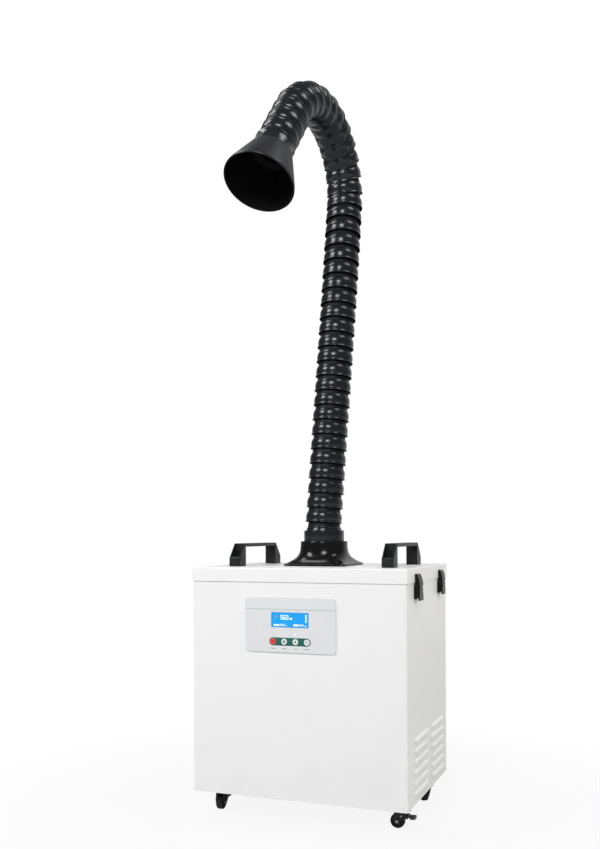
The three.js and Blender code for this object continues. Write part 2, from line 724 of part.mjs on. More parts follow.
function controlBoard() {
  const left = panelWindow.left + GAP;
  const right = panelWindow.right - GAP;
  const bottom = panelWindow.bottom + GAP;
  const top = panelWindow.top - GAP;
  const plate = box(left, right, boardFace, boardFace + BOARD_THICK, bottom, top);
  const posts = [];
  for (const x of [left + BOARD_POST_INSET, right - BOARD_POST_INSET]) {
    for (const z of [bottom + BOARD_POST_INSET, top - BOARD_POST_INSET]) {
      posts.push(rod([x, panelBack + GAP, z], [x, boardFace + BOARD_THICK / 2, z], BOARD_POST_RADIUS, 12));
    }
  }
  const switches = [];
  for (let n = 0; n < BUTTON_COUNT; n += 1) {
    const x = buttonX(n);
    const back = boardFace + BOARD_THICK / 2;
    switches.push(rod([x, switchFace, buttonLevel], [x, back, buttonLevel], SWITCH_RADIUS, 12));
  }
  return join(plate, ...posts, ...switches);
}
place("control_board", controlBoard(), greenBoard);

// Lid with its gasket and handles
function lid() {
  const tray = box(-lidHalfWidth, lidHalfWidth, -lidHalfDepth, lidHalfDepth, lidBottom, lidTop);
  const hollow = box(
    -lidHalfWidth + SHEET, lidHalfWidth - SHEET, -lidHalfDepth + SHEET, lidHalfDepth - SHEET,
    lidBottom - 1, lidUnder,
  );
  const hole = rod([0, 0, lidUnder - 1], [0, 0, lidTop + 1], DUCT_HOLE_RADIUS, 32);
  return cut(tray, hollow, hole);
}
place("lid", lid(), whiteSteel);

function lidGasket() {
  const foot = shellTop + GAP;
  const halfW = innerHalfWidth;
  const halfD = innerHalfDepth;
  const ring = box(-halfW, halfW, -halfD, halfD, foot, foot + GASKET_THICK);
  const middle = box(
    -halfW + GASKET_WIDTH, halfW - GASKET_WIDTH, -halfD + GASKET_WIDTH, halfD - GASKET_WIDTH,
    foot - 1, foot + GASKET_THICK + 1,
  );
  return cut(ring, middle);
}
place("lid_gasket", lidGasket(), rubber);

function handle() {
  const end = HANDLE_LENGTH / 2;
  const foot = lidTop + GAP;
  const top = foot + HANDLE_HEIGHT;
  const outline = [
    [-end, foot],
    [end, foot],
    [end, foot + HANDLE_FOOT_HEIGHT],
    [end - HANDLE_SLOPE, top],
    [HANDLE_SLOPE - end, top],
    [-end, foot + HANDLE_FOOT_HEIGHT],
  ];
  const bar = drawn(outline, "x", -HANDLE_WIDTH / 2, HANDLE_WIDTH / 2);
  const inside = end - HANDLE_LEG;
  const finger = box(-HANDLE_WIDTH, HANDLE_WIDTH, -inside, inside, foot - 1, top - HANDLE_GRIP);
  const pockets = [1, -1].map((side) => {
    const near = side * (inside + HANDLE_WALL);
    const far = side * (end - HANDLE_WALL);
    return box(
      -HANDLE_WIDTH / 2 + HANDLE_WALL, HANDLE_WIDTH / 2 - HANDLE_WALL,
      Math.min(near, far), Math.max(near, far),
      foot + HANDLE_FOOT_HEIGHT - 2 * HANDLE_WALL, top + 1,
    );
  });
  return cut(bar, finger, ...pockets);
}
const handleX = lidHalfWidth - HANDLE_INSET;
place("handle_left", handle().translate([HANDLE_SHIFT - handleX, 0, 0]), blackPlastic);
place("handle_right", handle().translate([HANDLE_SHIFT + handleX, 0, 0]), blackPlastic);

// Toggle latches: a base and lever on the cabinet, a claw on the lid's skirt
const latchPlateFace = halfWidth + GAP + LATCH_PLATE;
const latchPin = { out: latchPlateFace + GAP + LATCH_HUB_RADIUS, up: lidBottom - LATCH_PIN_DROP };
const latchReach = latchPin.out + LATCH_HUB_RADIUS;
const leverInside = latchReach - LATCH_LEVER_THICK;
const hubHalf = LATCH_WIDTH / 2 - LATCH_CHEEK - GAP;

function latchBase(y) {
  const half = LATCH_WIDTH / 2;
  const bottom = latchPin.up - LATCH_BASE_LENGTH;
  const top = latchPin.up + LATCH_HUB_RADIUS;
  const plate = box(halfWidth + GAP, latchPlateFace, y - half, y + half, bottom, top);
  const cheeks = [1, -1].map((side) => {
    const near = y + side * half;
    const far = y + side * (half - LATCH_CHEEK);
    const [from, to] = [Math.min(near, far), Math.max(near, far)];
    const wall = box(latchPlateFace - LATCH_PLATE / 2, leverInside - GAP, from, to, bottom, latchPin.up);
    const ear = rod(
      [latchPin.out, from, latchPin.up], [latchPin.out, to, latchPin.up], LATCH_HUB_RADIUS, 12,
    );
    return join(wall, ear);
  });
  const pin = rod(
    [latchPin.out, y - half, latchPin.up], [latchPin.out, y + half, latchPin.up], LATCH_PIN_RADIUS, 12,
  );
  return join(plate, ...cheeks, pin);
}

function latchLever(y) {
  const half = LATCH_WIDTH / 2;
  const bottom = latchPin.up - LATCH_LEVER_LENGTH;
  const wide = latchPin.up - LATCH_HUB_RADIUS - 2;
  const hub = rod(
    [latchPin.out, y - hubHalf, latchPin.up], [latchPin.out, y + hubHalf, latchPin.up],
    LATCH_HUB_RADIUS, 12,
  );
  const neck = box(leverInside, latchReach, y - hubHalf, y + hubHalf, wide - 1, latchPin.up);
  const outline = [
    [leverInside, wide],
    [leverInside + LATCH_LEVER_THICK * 0.4, bottom],
    [latchReach + LATCH_LEVER_THICK * 0.1, bottom],
    [latchReach, wide],
  ];
  const blade = drawn(outline, "y", y - half, y + half);
  const bore = rod(
    [latchPin.out, y - half, latchPin.up], [latchPin.out, y + half, latchPin.up],
    LATCH_PIN_RADIUS + GAP, 12,
  );
  return cut(join(hub, neck, blade), bore);
}

function latchClaw(y) {
  const half = LATCH_WIDTH / 2;
  const inner = lidHalfWidth + GAP;
  const bottom = latchPin.up + LATCH_HUB_RADIUS + GAP;
  const top = bottom + LATCH_CLAW_HEIGHT;
  const outline = [
    [inner, bottom],
    [latchReach, bottom],
    [latchReach, bottom + LATCH_CLAW_HEIGHT * 0.15],
    [latchReach - (latchReach - inner - LATCH_CLAW_TIP) * 0.4, bottom + LATCH_CLAW_HEIGHT * 0.65],
    [inner + LATCH_CLAW_TIP, top],
    [inner, top],
  ];
  return drawn(outline, "y", y - half, y + half);
}

for (const [end, y] of [["front", -latchY], ["rear", latchY]]) {
  for (const side of ["right", "left"]) {
    const set = (solid) => (side === "right" ? solid : mirrored(solid));
    place(`latch_base_${side}_${end}`, set(latchBase(y)), blackPlastic);
    place(`latch_lever_${side}_${end}`, set(latchLever(y)), blackPlastic);
    place(`latch_claw_${side}_${end}`, set(latchClaw(y)), blackPlastic);
  }
}

// Duct flange: a square foot that flares up into a round neck with a seat for the arm's collar
function flangeLoop(height, reach, roundness, sides) {
  const loop = [];
  for (let j = 0; j < sides; j += 1) {
    const angle = (2 * Math.PI * j) / sides;
    const [c, s] = [Math.cos(angle), Math.sin(angle)];
    const corner = reach * Math.SQRT2 - FLANGE_CORNER * 0.41;
    const square = Math.min(reach / Math.max(Math.abs(c), Math.abs(s)), corner);
    const radius = square + (reach - square) * roundness;
    loop.push(new THREE.Vector3(radius * c, radius * s, lidTop + GAP + height));
  }
  return loop;
}

function ductFlange() {
  const sides = 24;
  const half = FLANGE_SIZE / 2;
  const seatRadius = COLLAR_RADIUS + RUNNING_GAP;
  return skin([
    flangeLoop(0, half, 0, sides),
    flangeLoop(FLANGE_EDGE, half, 0, sides),
    flangeLoop(FLANGE_WAIST_HEIGHT, FLANGE_WAIST_RADIUS, 0.45, sides),
    flangeLoop(FLANGE_NECK_HEIGHT, FLANGE_TOP_RADIUS + 1.5, 0.9, sides),
    flangeLoop(FLANGE_HEIGHT, FLANGE_TOP_RADIUS, 1, sides),
    flangeLoop(FLANGE_HEIGHT, seatRadius, 1, sides),
    flangeLoop(FLANGE_SEAT_HEIGHT, seatRadius, 1, sides),
    flangeLoop(FLANGE_SEAT_HEIGHT, DUCT_HOLE_RADIUS, 1, sides),
    flangeLoop(0, DUCT_HOLE_RADIUS, 1, sides),
  ]);
}
place("duct_flange", ductFlange(), blackPlastic);

// Arm path: the pivot and heading of every ring, from the collar to the hood
const ringCount = SECTION_RINGS.reduce((sum, rings) => sum + rings, 0);

function turnTowards(direction, heading, degrees) {
  const axis = new THREE.Vector3(Math.cos(heading * RAD), Math.sin(heading * RAD), 0);
  return direction.clone().applyAxisAngle(axis, degrees * RAD);
}

function armPath() {
  const side = Math.sin(LEAN_RIGHT_ANGLE * RAD);
  const upright = Math.cos(LEAN_RIGHT_ANGLE * RAD);
  const back = Math.sin(LEAN_BACK_ANGLE * RAD);
  const pivot = new THREE.Vector3(0, 0, lidTop + ARM_BASE_RISE);
  let direction = new THREE.Vector3(side, back * upright, Math.cos(LEAN_BACK_ANGLE * RAD) * upright);
  const path = [];
  const share = (k, from, to) => Math.max(0, Math.min(k, to) - Math.max(k - 1, from));
  for (let k = 0; k < ringCount; k += 1) {
    const ease = share(k, EASE_RING_COUNT, ARCH_RING_COUNT) * EASE_ANGLE;
    const arch = share(k, ARCH_RING_COUNT, TURN_RING_COUNT) * ARCH_ANGLE;
    const turn = share(k, TURN_RING_COUNT, STRAIGHT_RING_COUNT) * ARCH_ANGLE;
    direction = turnTowards(direction, EASE_HEADING_ANGLE, ease);
    direction = turnTowards(direction, ARCH_HEADING_ANGLE, arch);
    direction = turnTowards(direction, TURN_HEADING_ANGLE, turn);
    path.push({ pivot: pivot.clone(), direction: direction.clone() });
    pivot.addScaledVector(direction, RING_PITCH);
  }
  const dip = HOOD_DIP_ANGLE * RAD;
  const level = Math.cos(dip);
  const heading = HOOD_HEADING_ANGLE * RAD;
  const aim = new THREE.Vector3(Math.sin(heading) * level, -Math.cos(heading) * level, -Math.sin(dip));
  path.push({ pivot: pivot.clone(), direction: aim });
  return path;
}
const path = armPath();
const collarSeat = {
  pivot: new THREE.Vector3(0, 0, lidTop + ARM_BASE_RISE - RING_PITCH),
  direction: new THREE.Vector3(0, 0, 1),
};

// A loop of points round a ring's axis, at a height along it from the ring's pivot
function ringLoop({ pivot, direction }, height, radius) {
  const across = new THREE.Vector3(1, 0, 0);
  across.addScaledVector(direction, -across.dot(direction)).normalize();
  const over = new THREE.Vector3().crossVectors(direction, across);
  const middle = pivot.clone().addScaledVector(direction, height);
  const loop = [];
  for (let j = 0; j < RING_SIDES; j += 1) {
    const angle = (2 * Math.PI * (j + 0.5)) / RING_SIDES;
    const point = middle.clone().addScaledVector(across, radius * Math.cos(angle));
    loop.push(point.addScaledVector(over, radius * Math.sin(angle)));
  }
  return loop;
}

const sphereRadius = (radius, height) => Math.sqrt(radius * radius - height * height);
const socketRadius = BALL_RADIUS + BALL_CLEARANCE;
const socketTop = RING_SHOULDER_RISE + 1.5;
const ballFoot = RING_NECK_RISE + 1.4 - RING_PITCH;

const outsideOfRing = (ring) => [
  ringLoop(ring, -RING_LIP_DROP, RING_LIP_RADIUS),
  ringLoop(ring, RING_SHOULDER_RISE, RING_SHOULDER_RADIUS),
  ringLoop(ring, RING_NECK_RISE, RING_NECK_RADIUS),
];

// The ball on a ring's far end, with its hollow back down to the bore
const ballOfRing = (ring) => {
  const ballHeights = [ballFoot, ballFoot * 0.6, ballFoot * 0.2, 0];
  const outside = ballHeights.map((height) =>
    ringLoop(ring, RING_PITCH + height, sphereRadius(BALL_RADIUS, height)));
  return [
    ...outside,
    ringLoop(ring, RING_PITCH + 0.3, BALL_RADIUS - BALL_WALL),
    ringLoop(ring, RING_PITCH + ballFoot * 0.4, BORE_RADIUS),
  ];
};

// The socket in a ring's near end, from the bore out to the lip
const socketOfRing = (ring) => [
  ringLoop(ring, RING_NECK_RISE, BORE_RADIUS),
  ringLoop(ring, socketTop, sphereRadius(socketRadius, socketTop)),
  ringLoop(ring, socketTop * 0.35, sphereRadius(socketRadius, socketTop * 0.35)),
  ringLoop(ring, -RING_LIP_DROP * 0.35, sphereRadius(socketRadius, RING_LIP_DROP * 0.35)),
  ringLoop(ring, -RING_LIP_DROP, sphereRadius(socketRadius, RING_LIP_DROP)),
];

function armSection(first, count) {
  const rings = path.slice(first, first + count);
  const loops = [];
  rings.forEach((ring, i) => {
    if (i > 0) loops.push(ringLoop(ring, -RING_LIP_DROP, RING_NECK_RADIUS + 1));
    loops.push(...outsideOfRing(ring));
  });
  loops.push(...ballOfRing(rings[count - 1]));
  for (let i = count - 1; i > 0; i -= 1) loops.push(ringLoop(rings[i], 0, BORE_RADIUS));
  loops.push(...socketOfRing(rings[0]));
  return skin(loops);
}

let firstRing = 0;
SECTION_RINGS.forEach((count, n) => {
  const number = String(n + 1).padStart(2, "0");
  place(`arm_section_${number}`, armSection(firstRing, count), blackPlastic);
  firstRing += count;
});

// The collar turns in the flange's seat and ends in the ball for the first ring
function armCollar() {
  const foot = lidTop + 2 * GAP + FLANGE_SEAT_HEIGHT;
  const rim = lidTop + COLLAR_HEIGHT;
  const wall = [[BORE_RADIUS, foot], [COLLAR_RADIUS, foot], [COLLAR_RADIUS, rim], [BORE_RADIUS, rim]];
  const tube = turned(wall, 24);
  const dome = skin([
    ringLoop(collarSeat, -RING_LIP_DROP, RING_LIP_RADIUS),
    ringLoop(collarSeat, RING_SHOULDER_RISE, RING_SHOULDER_RADIUS),
    ringLoop(collarSeat, RING_NECK_RISE, RING_NECK_RADIUS),
    ...ballOfRing(collarSeat),
    ringLoop(collarSeat, -RING_LIP_DROP, BORE_RADIUS),
  ]);
  return join(tube, dome);
}
place("arm_collar", armCollar(), blackPlastic);

// Hood: a cone with a socket at its neck
function hood() {
  const ring = path[ringCount];
  const neckEnd = -RING_LIP_DROP;
  const rimStart = HOOD_LENGTH - HOOD_RIM_LENGTH;
  const rimRadius = HOOD_MOUTH_RADIUS - HOOD_RIM_FLARE - HOOD_RIM_LENGTH * 0.25;
  const outside = turned([
    [0, neckEnd],
    [HOOD_NECK_RADIUS, neckEnd],
    [HOOD_NECK_RADIUS + 1.5, HOOD_NECK_LENGTH],
    [rimRadius, rimStart],
    [HOOD_MOUTH_RADIUS, HOOD_LENGTH],
    [0, HOOD_LENGTH],
  ], HOOD_SIDES);
  const hollow = turned([
    [0, socketTop],
    [sphereRadius(socketRadius, socketTop) - 0.5, socketTop],
    [HOOD_NECK_RADIUS + 1.5 - HOOD_WALL, HOOD_NECK_LENGTH + 4],
    [rimRadius - HOOD_WALL, rimStart],
    [HOOD_MOUTH_RADIUS - HOOD_WALL, HOOD_LENGTH + 1],
    [0, HOOD_LENGTH + 1],
  ], HOOD_SIDES);
  const turn = new THREE.Quaternion().setFromUnitVectors(new THREE.Vector3(0, 0, 1), ring.direction);
  const set = (solid) =>
    solidOf(geometryOf(solid).applyQuaternion(turn).translate(...ring.pivot.toArray()));
  const lip = -RING_LIP_DROP;
  const heights = [socketTop + 0.5, socketTop, socketTop * 0.35, lip * 0.35, lip, lip - 1];
  const walls = heights.map((height) => ringLoop(ring, height, sphereRadius(socketRadius, height)));
  const core = heights.map((height) => ringLoop(ring, height, 1)).reverse();
  const plug = rod(
    ring.pivot.clone().addScaledVector(ring.direction, -RING_LIP_DROP - 1).toArray(),
    ring.pivot.clone().addScaledVector(ring.direction, socketTop + 0.5).toArray(), 2,
  );
  const cavity = join(skin([...walls].reverse().concat([...core].reverse())), plug);
  return cut(set(outside), set(hollow), cavity);
}
place("hood", hood(), blackPlastic);

export default model;
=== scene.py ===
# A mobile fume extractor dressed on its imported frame: a white cabinet, a black jointed arm and its hood.
import json
import math

import bmesh
import bpy
from mathutils import Matrix, Vector

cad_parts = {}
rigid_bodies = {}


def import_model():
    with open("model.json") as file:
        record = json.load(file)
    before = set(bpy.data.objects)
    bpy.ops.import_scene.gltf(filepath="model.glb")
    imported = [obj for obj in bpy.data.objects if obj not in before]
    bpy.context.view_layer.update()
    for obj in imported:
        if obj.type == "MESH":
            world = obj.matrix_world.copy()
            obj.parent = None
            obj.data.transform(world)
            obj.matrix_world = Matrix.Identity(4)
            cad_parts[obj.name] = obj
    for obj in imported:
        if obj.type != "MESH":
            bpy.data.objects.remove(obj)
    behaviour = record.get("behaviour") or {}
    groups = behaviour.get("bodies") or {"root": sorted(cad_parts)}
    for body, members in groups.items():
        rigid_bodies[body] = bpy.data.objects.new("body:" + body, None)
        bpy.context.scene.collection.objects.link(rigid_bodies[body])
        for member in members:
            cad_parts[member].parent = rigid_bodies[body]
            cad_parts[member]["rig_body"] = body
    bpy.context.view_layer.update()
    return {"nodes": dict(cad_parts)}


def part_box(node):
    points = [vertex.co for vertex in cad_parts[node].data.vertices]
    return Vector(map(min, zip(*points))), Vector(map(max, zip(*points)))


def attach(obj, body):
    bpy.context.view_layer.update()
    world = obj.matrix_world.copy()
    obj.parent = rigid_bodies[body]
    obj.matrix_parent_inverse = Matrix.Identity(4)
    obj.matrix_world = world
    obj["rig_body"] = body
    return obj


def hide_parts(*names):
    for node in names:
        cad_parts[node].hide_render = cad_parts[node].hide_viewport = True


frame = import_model()
scene = bpy.context.scene
MM = 0.001
# Slack for telling which points lie on a face, in metres
NEAR = 1e-5


def box_mm(node):
    """The low and high corners of a node's box, in millimetres."""
    return [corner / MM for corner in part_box(node)]


# Levels and faces of the frame that the fittings are set on
LID_TOP = box_mm("lid")[1].z
FLOOR = box_mm("caster_wheel_front_left")[0].z
REAR_FACE = box_mm("rear_panel")[1].y
PANEL_LOW, PANEL_HIGH = box_mm("control_panel")
PANEL_FACE = PANEL_LOW.y
PANEL_MIDDLE = (PANEL_LOW.x + PANEL_HIGH.x) / 2

# The arm: rings threaded ball in socket, from the collar on the lid to the hood.
# A start counts rings from the foot, a bend is in degrees a ring, and a heading is the way its axis points.
RING_PITCH = 30.3
ARM_FOOT = LID_TOP + 98.0
SECTION_RINGS = (4, 4, 4, 3, 3, 3, 3, 3, 2, 2, 2, 2, 2)
LEAN_RIGHT = 3.0
LEAN_BACK = 3.97
EASE_START = 13.15
EASE_BEND = 0.66
EASE_HEADING = -150.2
ARCH_START = 21.47
ARCH_BEND = 13.2
ARCH_HEADING = -4.97
TURN_START = 29.13
TURN_HEADING = 2.7
STRAIGHT_START = 33.18
HOOD_HEADING = -12.0
HOOD_DIP = 58.8


# Shader nodes
MIX_FIRST, MIX_SECOND, MIX_COLOUR = 6, 7, 2
NOISE_SPAN = (0.3, 0.7)
FULL_SPAN = (0.0, 1.0)


def shader(name):
    """A new material, with its node tree, its surface shader and the place on the piece."""
    material = bpy.data.materials.new(name)
    material.use_nodes = True
    tree = material.node_tree
    where = tree.nodes.new("ShaderNodeTexCoord").outputs["Object"]
    return material, tree, tree.nodes["Principled BSDF"], where


def cloud(tree, where, scale, detail=2.0):
    texture = tree.nodes.new("ShaderNodeTexNoise")
    texture.inputs["Scale"].default_value = scale
    texture.inputs["Detail"].default_value = detail
    tree.links.new(where, texture.inputs["Vector"])
    return texture.outputs["Fac"]


def cells(tree, where, scale):
    texture = tree.nodes.new("ShaderNodeTexVoronoi")
    texture.inputs["Scale"].default_value = scale
    tree.links.new(where, texture.inputs["Vector"])
    return texture.outputs["Distance"]


def ranged(tree, value, given, wanted, smooth=False):
    """Maps a value from the span given to the span wanted."""
    node = tree.nodes.new("ShaderNodeMapRange")
    if smooth:
        node.interpolation_type = "SMOOTHSTEP"
    node.inputs["From Min"].default_value = given[0]
    node.inputs["From Max"].default_value = given[1]
    node.inputs["To Min"].default_value = wanted[0]
    node.inputs["To Max"].default_value = wanted[1]
    tree.links.new(value, node.inputs["Value"])
    return node.outputs["Result"]


def reckoned(tree, operation, first, second):
    node = tree.nodes.new("ShaderNodeMath")
    node.operation = operation
    tree.links.new(first, node.inputs[0])
    tree.links.new(second, node.inputs[1])
    return node.outputs[0]


def two_tone(tree, value, first, second):
    mix = tree.nodes.new("ShaderNodeMix")
    mix.data_type = "RGBA"
    mix.inputs[MIX_FIRST].default_value = (*first, 1)
    mix.inputs[MIX_SECOND].default_value = (*second, 1)
    tree.links.new(value, mix.inputs[0])
    return mix.outputs[MIX_COLOUR]


def blended(tree, share, first, second):
    """Blends two shaders by a share of the second."""
    mix = tree.nodes.new("ShaderNodeMixShader")
    tree.links.new(share, mix.inputs[0])
    tree.links.new(first, mix.inputs[1])
    tree.links.new(second, mix.inputs[2])
    return mix.outputs[0]


def relief(tree, surface, value, strength, height):
    bump = tree.nodes.new("ShaderNodeBump")
    bump.inputs["Strength"].default_value = strength
    bump.inputs["Distance"].default_value = height
    tree.links.new(value, bump.inputs["Height"])
    tree.links.new(bump.outputs["Normal"], surface.inputs["Normal"])


# Finishes
SMEAR_SCALE = 3.7
SMEAR_DETAIL = 4.0
GRAIN_DETAIL = 3.0
GLOW_PATCH = 45.0
GLOW_DIMMER = 0.9
GLOW_ROUGHNESS = 0.2


def coated(name, colour, drift, gloss, patch, grain, lift, metal=0.0, shine=0.5, pebbled=False):
    """A coated or moulded finish: colour drifts in soft patches, gloss varies, and a fine grain lifts it."""
    material, tree, surface, where = shader(name)
    patches = ranged(tree, cloud(tree, where, patch), NOISE_SPAN, FULL_SPAN)
    tree.links.new(two_tone(tree, patches, colour, drift), surface.inputs["Base Color"])
    smears = cloud(tree, where, patch * SMEAR_SCALE, SMEAR_DETAIL)
    tree.links.new(ranged(tree, smears, NOISE_SPAN, gloss), surface.inputs["Roughness"])
    surface.inputs["Metallic"].default_value = metal
    surface.inputs["Specular IOR Level"].default_value = shine
    bumps = cells(tree, where, grain) if pebbled else cloud(tree, where, grain, GRAIN_DETAIL)
    relief(tree, surface, bumps, *lift)
    return material


def glowing(name, colour, strength):
    """A backlit face, a little uneven."""
    material, tree, surface, where = shader(name)
    patches = ranged(tree, cloud(tree, where, GLOW_PATCH), NOISE_SPAN, FULL_SPAN)
    dimmer = tuple(GLOW_DIMMER * part for part in colour)
    uneven = two_tone(tree, patches, colour, dimmer)
    tree.links.new(uneven, surface.inputs["Base Color"])
    tree.links.new(uneven, surface.inputs["Emission Color"])
    surface.inputs["Emission Strength"].default_value = strength
    surface.inputs["Roughness"].default_value = GLOW_ROUGHNESS
    return material


powder_white = coated(
    "powder_white", colour=(0.83, 0.83, 0.845), drift=(0.815, 0.815, 0.83), gloss=(0.36, 0.44),
    patch=9.0, grain=620.0, lift=(0.06, 0.0004),
)
ring_black = coated(
    "ring_black", colour=(0.0095, 0.0108, 0.0145), drift=(0.0115, 0.0128, 0.0165), gloss=(0.19, 0.23),
    patch=22.0, grain=1400.0, lift=(0.02, 0.00002), shine=0.38,
)
ball_black = coated(
    "ball_black", colour=(0.006, 0.0068, 0.009), drift=(0.008, 0.0088, 0.011), gloss=(0.45, 0.55),
    patch=30.0, grain=1300.0, lift=(0.06, 0.0001), shine=0.15,
)
hood_black = coated(
    "hood_black", colour=(0.0125, 0.0132, 0.0165), drift=(0.0155, 0.0162, 0.0195), gloss=(0.42, 0.5),
    patch=26.0, grain=1400.0, lift=(0.04, 0.0001), shine=0.32,
)
# Near-black for the hood's inner faces, darker than the hood's own black: painted shade inside the mouth
hood_painted_shade = coated(
    "hood_painted_shade", colour=(0.003, 0.003, 0.003), drift=(0.0045, 0.0045, 0.0045), gloss=(0.5, 0.62),
    patch=30.0, grain=900.0, lift=(0.1, 0.0003), shine=0.1,
)
flange_black = coated(
    "flange_black", colour=(0.0055, 0.0055, 0.0062), drift=(0.0075, 0.0075, 0.0082), gloss=(0.15, 0.19),
    patch=24.0, grain=1400.0, lift=(0.03, 0.00004), shine=0.26,
)
grained_black = coated(
    "grained_black", colour=(0.009, 0.0098, 0.0105), drift=(0.0125, 0.0132, 0.014), gloss=(0.36, 0.46),
    patch=30.0, grain=1500.0, lift=(0.16, 0.0002), shine=0.25, pebbled=True,
)
latch_black = coated(
    "latch_black", colour=(0.006, 0.006, 0.0055), drift=(0.009, 0.009, 0.008), gloss=(0.26, 0.36),
    patch=60.0, grain=1300.0, lift=(0.1, 0.0001), shine=0.12, pebbled=True,
)
fork_black = coated(
    "fork_black", colour=(0.008, 0.008, 0.008), drift=(0.012, 0.012, 0.012), gloss=(0.34, 0.46),
    patch=70.0, grain=1100.0, lift=(0.1, 0.0002),
)
tyre_black = coated(
    "tyre_black", colour=(0.014, 0.014, 0.014), drift=(0.024, 0.024, 0.024), gloss=(0.55, 0.75),
    patch=90.0, grain=1400.0, lift=(0.25, 0.0002),
)
pedal_grey = coated(
    "pedal_grey", colour=(0.055, 0.055, 0.066), drift=(0.075, 0.075, 0.088), gloss=(0.35, 0.5),
    patch=80.0, grain=1200.0, lift=(0.12, 0.0002),
)
bright_zinc = coated(
    "bright_zinc", colour=(0.6, 0.61, 0.62), drift=(0.48, 0.49, 0.5), gloss=(0.28, 0.42),
    patch=120.0, grain=300.0, lift=(0.05, 0.0002), metal=1.0,
)
galvanised = coated(
    "galvanised", colour=(0.56, 0.58, 0.6), drift=(0.42, 0.44, 0.46), gloss=(0.32, 0.5),
    patch=55.0, grain=90.0, lift=(0.04, 0.0003), metal=1.0, pebbled=True,
)
panel_film = coated(
    "panel_film", colour=(0.705, 0.713, 0.728), drift=(0.687, 0.695, 0.71), gloss=(0.42, 0.52),
    patch=25.0, grain=2600.0, lift=(0.05, 0.0001),
)
teal_rule = coated(
    "teal_rule", colour=(0.36, 0.5, 0.47), drift=(0.33, 0.47, 0.44), gloss=(0.4, 0.5),
    patch=40.0, grain=2600.0, lift=(0.04, 0.0001),
)
teal_print = coated(
    "teal_print", colour=(0.001, 0.105, 0.082), drift=(0.002, 0.12, 0.093), gloss=(0.38, 0.48),
    patch=60.0, grain=2600.0, lift=(0.05, 0.0001),
)
mark_teal = coated(
    "mark_teal", colour=(0.12, 0.27, 0.235), drift=(0.14, 0.3, 0.26), gloss=(0.4, 0.5),
    patch=60.0, grain=2600.0, lift=(0.04, 0.0001),
)
red_key = coated(
    "red_key", colour=(0.86, 0.055, 0.055), drift=(0.78, 0.045, 0.045), gloss=(0.32, 0.42),
    patch=90.0, grain=2400.0, lift=(0.05, 0.0001),
)
deep_red = coated(
    "deep_red", colour=(0.3, 0.008, 0.012), drift=(0.26, 0.007, 0.01), gloss=(0.35, 0.45),
    patch=90.0, grain=2400.0, lift=(0.05, 0.0001),
)
white_key = coated(
    "white_key", colour=(0.79, 0.8, 0.79), drift=(0.75, 0.76, 0.75), gloss=(0.35, 0.45),
    patch=80.0, grain=2400.0, lift=(0.05, 0.0001),
)
dot_white = coated(
    "dot_white", colour=(0.9, 0.9, 0.9), drift=(0.86, 0.86, 0.86), gloss=(0.25, 0.35),
    patch=80.0, grain=2400.0, lift=(0.03, 0.0001),
)
board_green = coated(
    "board_green", colour=(0.012, 0.105, 0.045), drift=(0.018, 0.13, 0.058), gloss=(0.3, 0.45),
    patch=140.0, grain=900.0, lift=(0.1, 0.0002),
)
motor_dark = coated(
    "motor_dark", colour=(0.05, 0.052, 0.056), drift=(0.075, 0.077, 0.082), gloss=(0.35, 0.5),
    patch=60.0, grain=700.0, lift=(0.1, 0.0003), metal=0.6,
)
impeller_grey = coated(
    "impeller_grey", colour=(0.03, 0.032, 0.035), drift=(0.045, 0.047, 0.05), gloss=(0.42, 0.55),
    patch=60.0, grain=900.0, lift=(0.08, 0.0002),
)
filter_fibre = coated(
    "filter_fibre", colour=(0.74, 0.72, 0.65), drift=(0.63, 0.61, 0.54), gloss=(0.85, 0.98),
    patch=35.0, grain=1100.0, lift=(0.7, 0.0006),
)
gasket_foam = coated(
    "gasket_foam", colour=(0.02, 0.02, 0.021), drift=(0.032, 0.032, 0.033), gloss=(0.8, 0.95),
    patch=90.0, grain=1600.0, lift=(0.6, 0.0004), pebbled=True,
)
display_blue = glowing("display_blue", colour=(0.0, 0.285, 0.72), strength=0.32)
display_white = glowing("display_white", colour=(0.85, 0.93, 0.97), strength=0.45)
display_green = glowing("display_green", colour=(0.02, 0.5, 0.06), strength=0.2)
display_orange = glowing("display_orange", colour=(0.8, 0.19, 0.02), strength=0.2)


# Mesh making
FLAT_TURN = 1.5


def finished(name, bm, material, body, slot, *nodes, sharp=38.0, others=()):
    """Makes the mesh a shaded piece that rides on a body and stands for the nodes it replaces."""
    mesh = bpy.data.meshes.new(name)
    bm.to_mesh(mesh)
    bm.free()
    for each in (material, *others):
        mesh.materials.append(each)
    mesh.polygons.foreach_set("use_smooth", [True] * len(mesh.polygons))
    mesh.set_sharp_from_angle(angle=math.radians(sharp))
    piece = bpy.data.objects.new(name, mesh)
    scene.collection.objects.link(piece)
    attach(piece, body)
    if nodes:
        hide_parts(*nodes)
    return piece


def even_shading(piece):
    shading = piece.modifiers.new("even_shading", "WEIGHTED_NORMAL")
    shading.keep_sharp = True


def rounded(bm, edges, radius, segments, clamp=True):
    bmesh.ops.bevel(
        bm, geom=edges, offset=radius * MM, offset_type="OFFSET", segments=segments, profile=0.5,
        affect="EDGES", clamp_overlap=clamp, material=-1,
    )


def creases(bm, turn):
    """The edges where the surface turns by more than so many degrees."""
    limit = math.radians(turn)
    return [edge for edge in bm.edges if len(edge.link_faces) == 2 and edge.calc_face_angle() > limit]


def rise(edge):
    return abs(edge.verts[0].co.z - edge.verts[1].co.z)


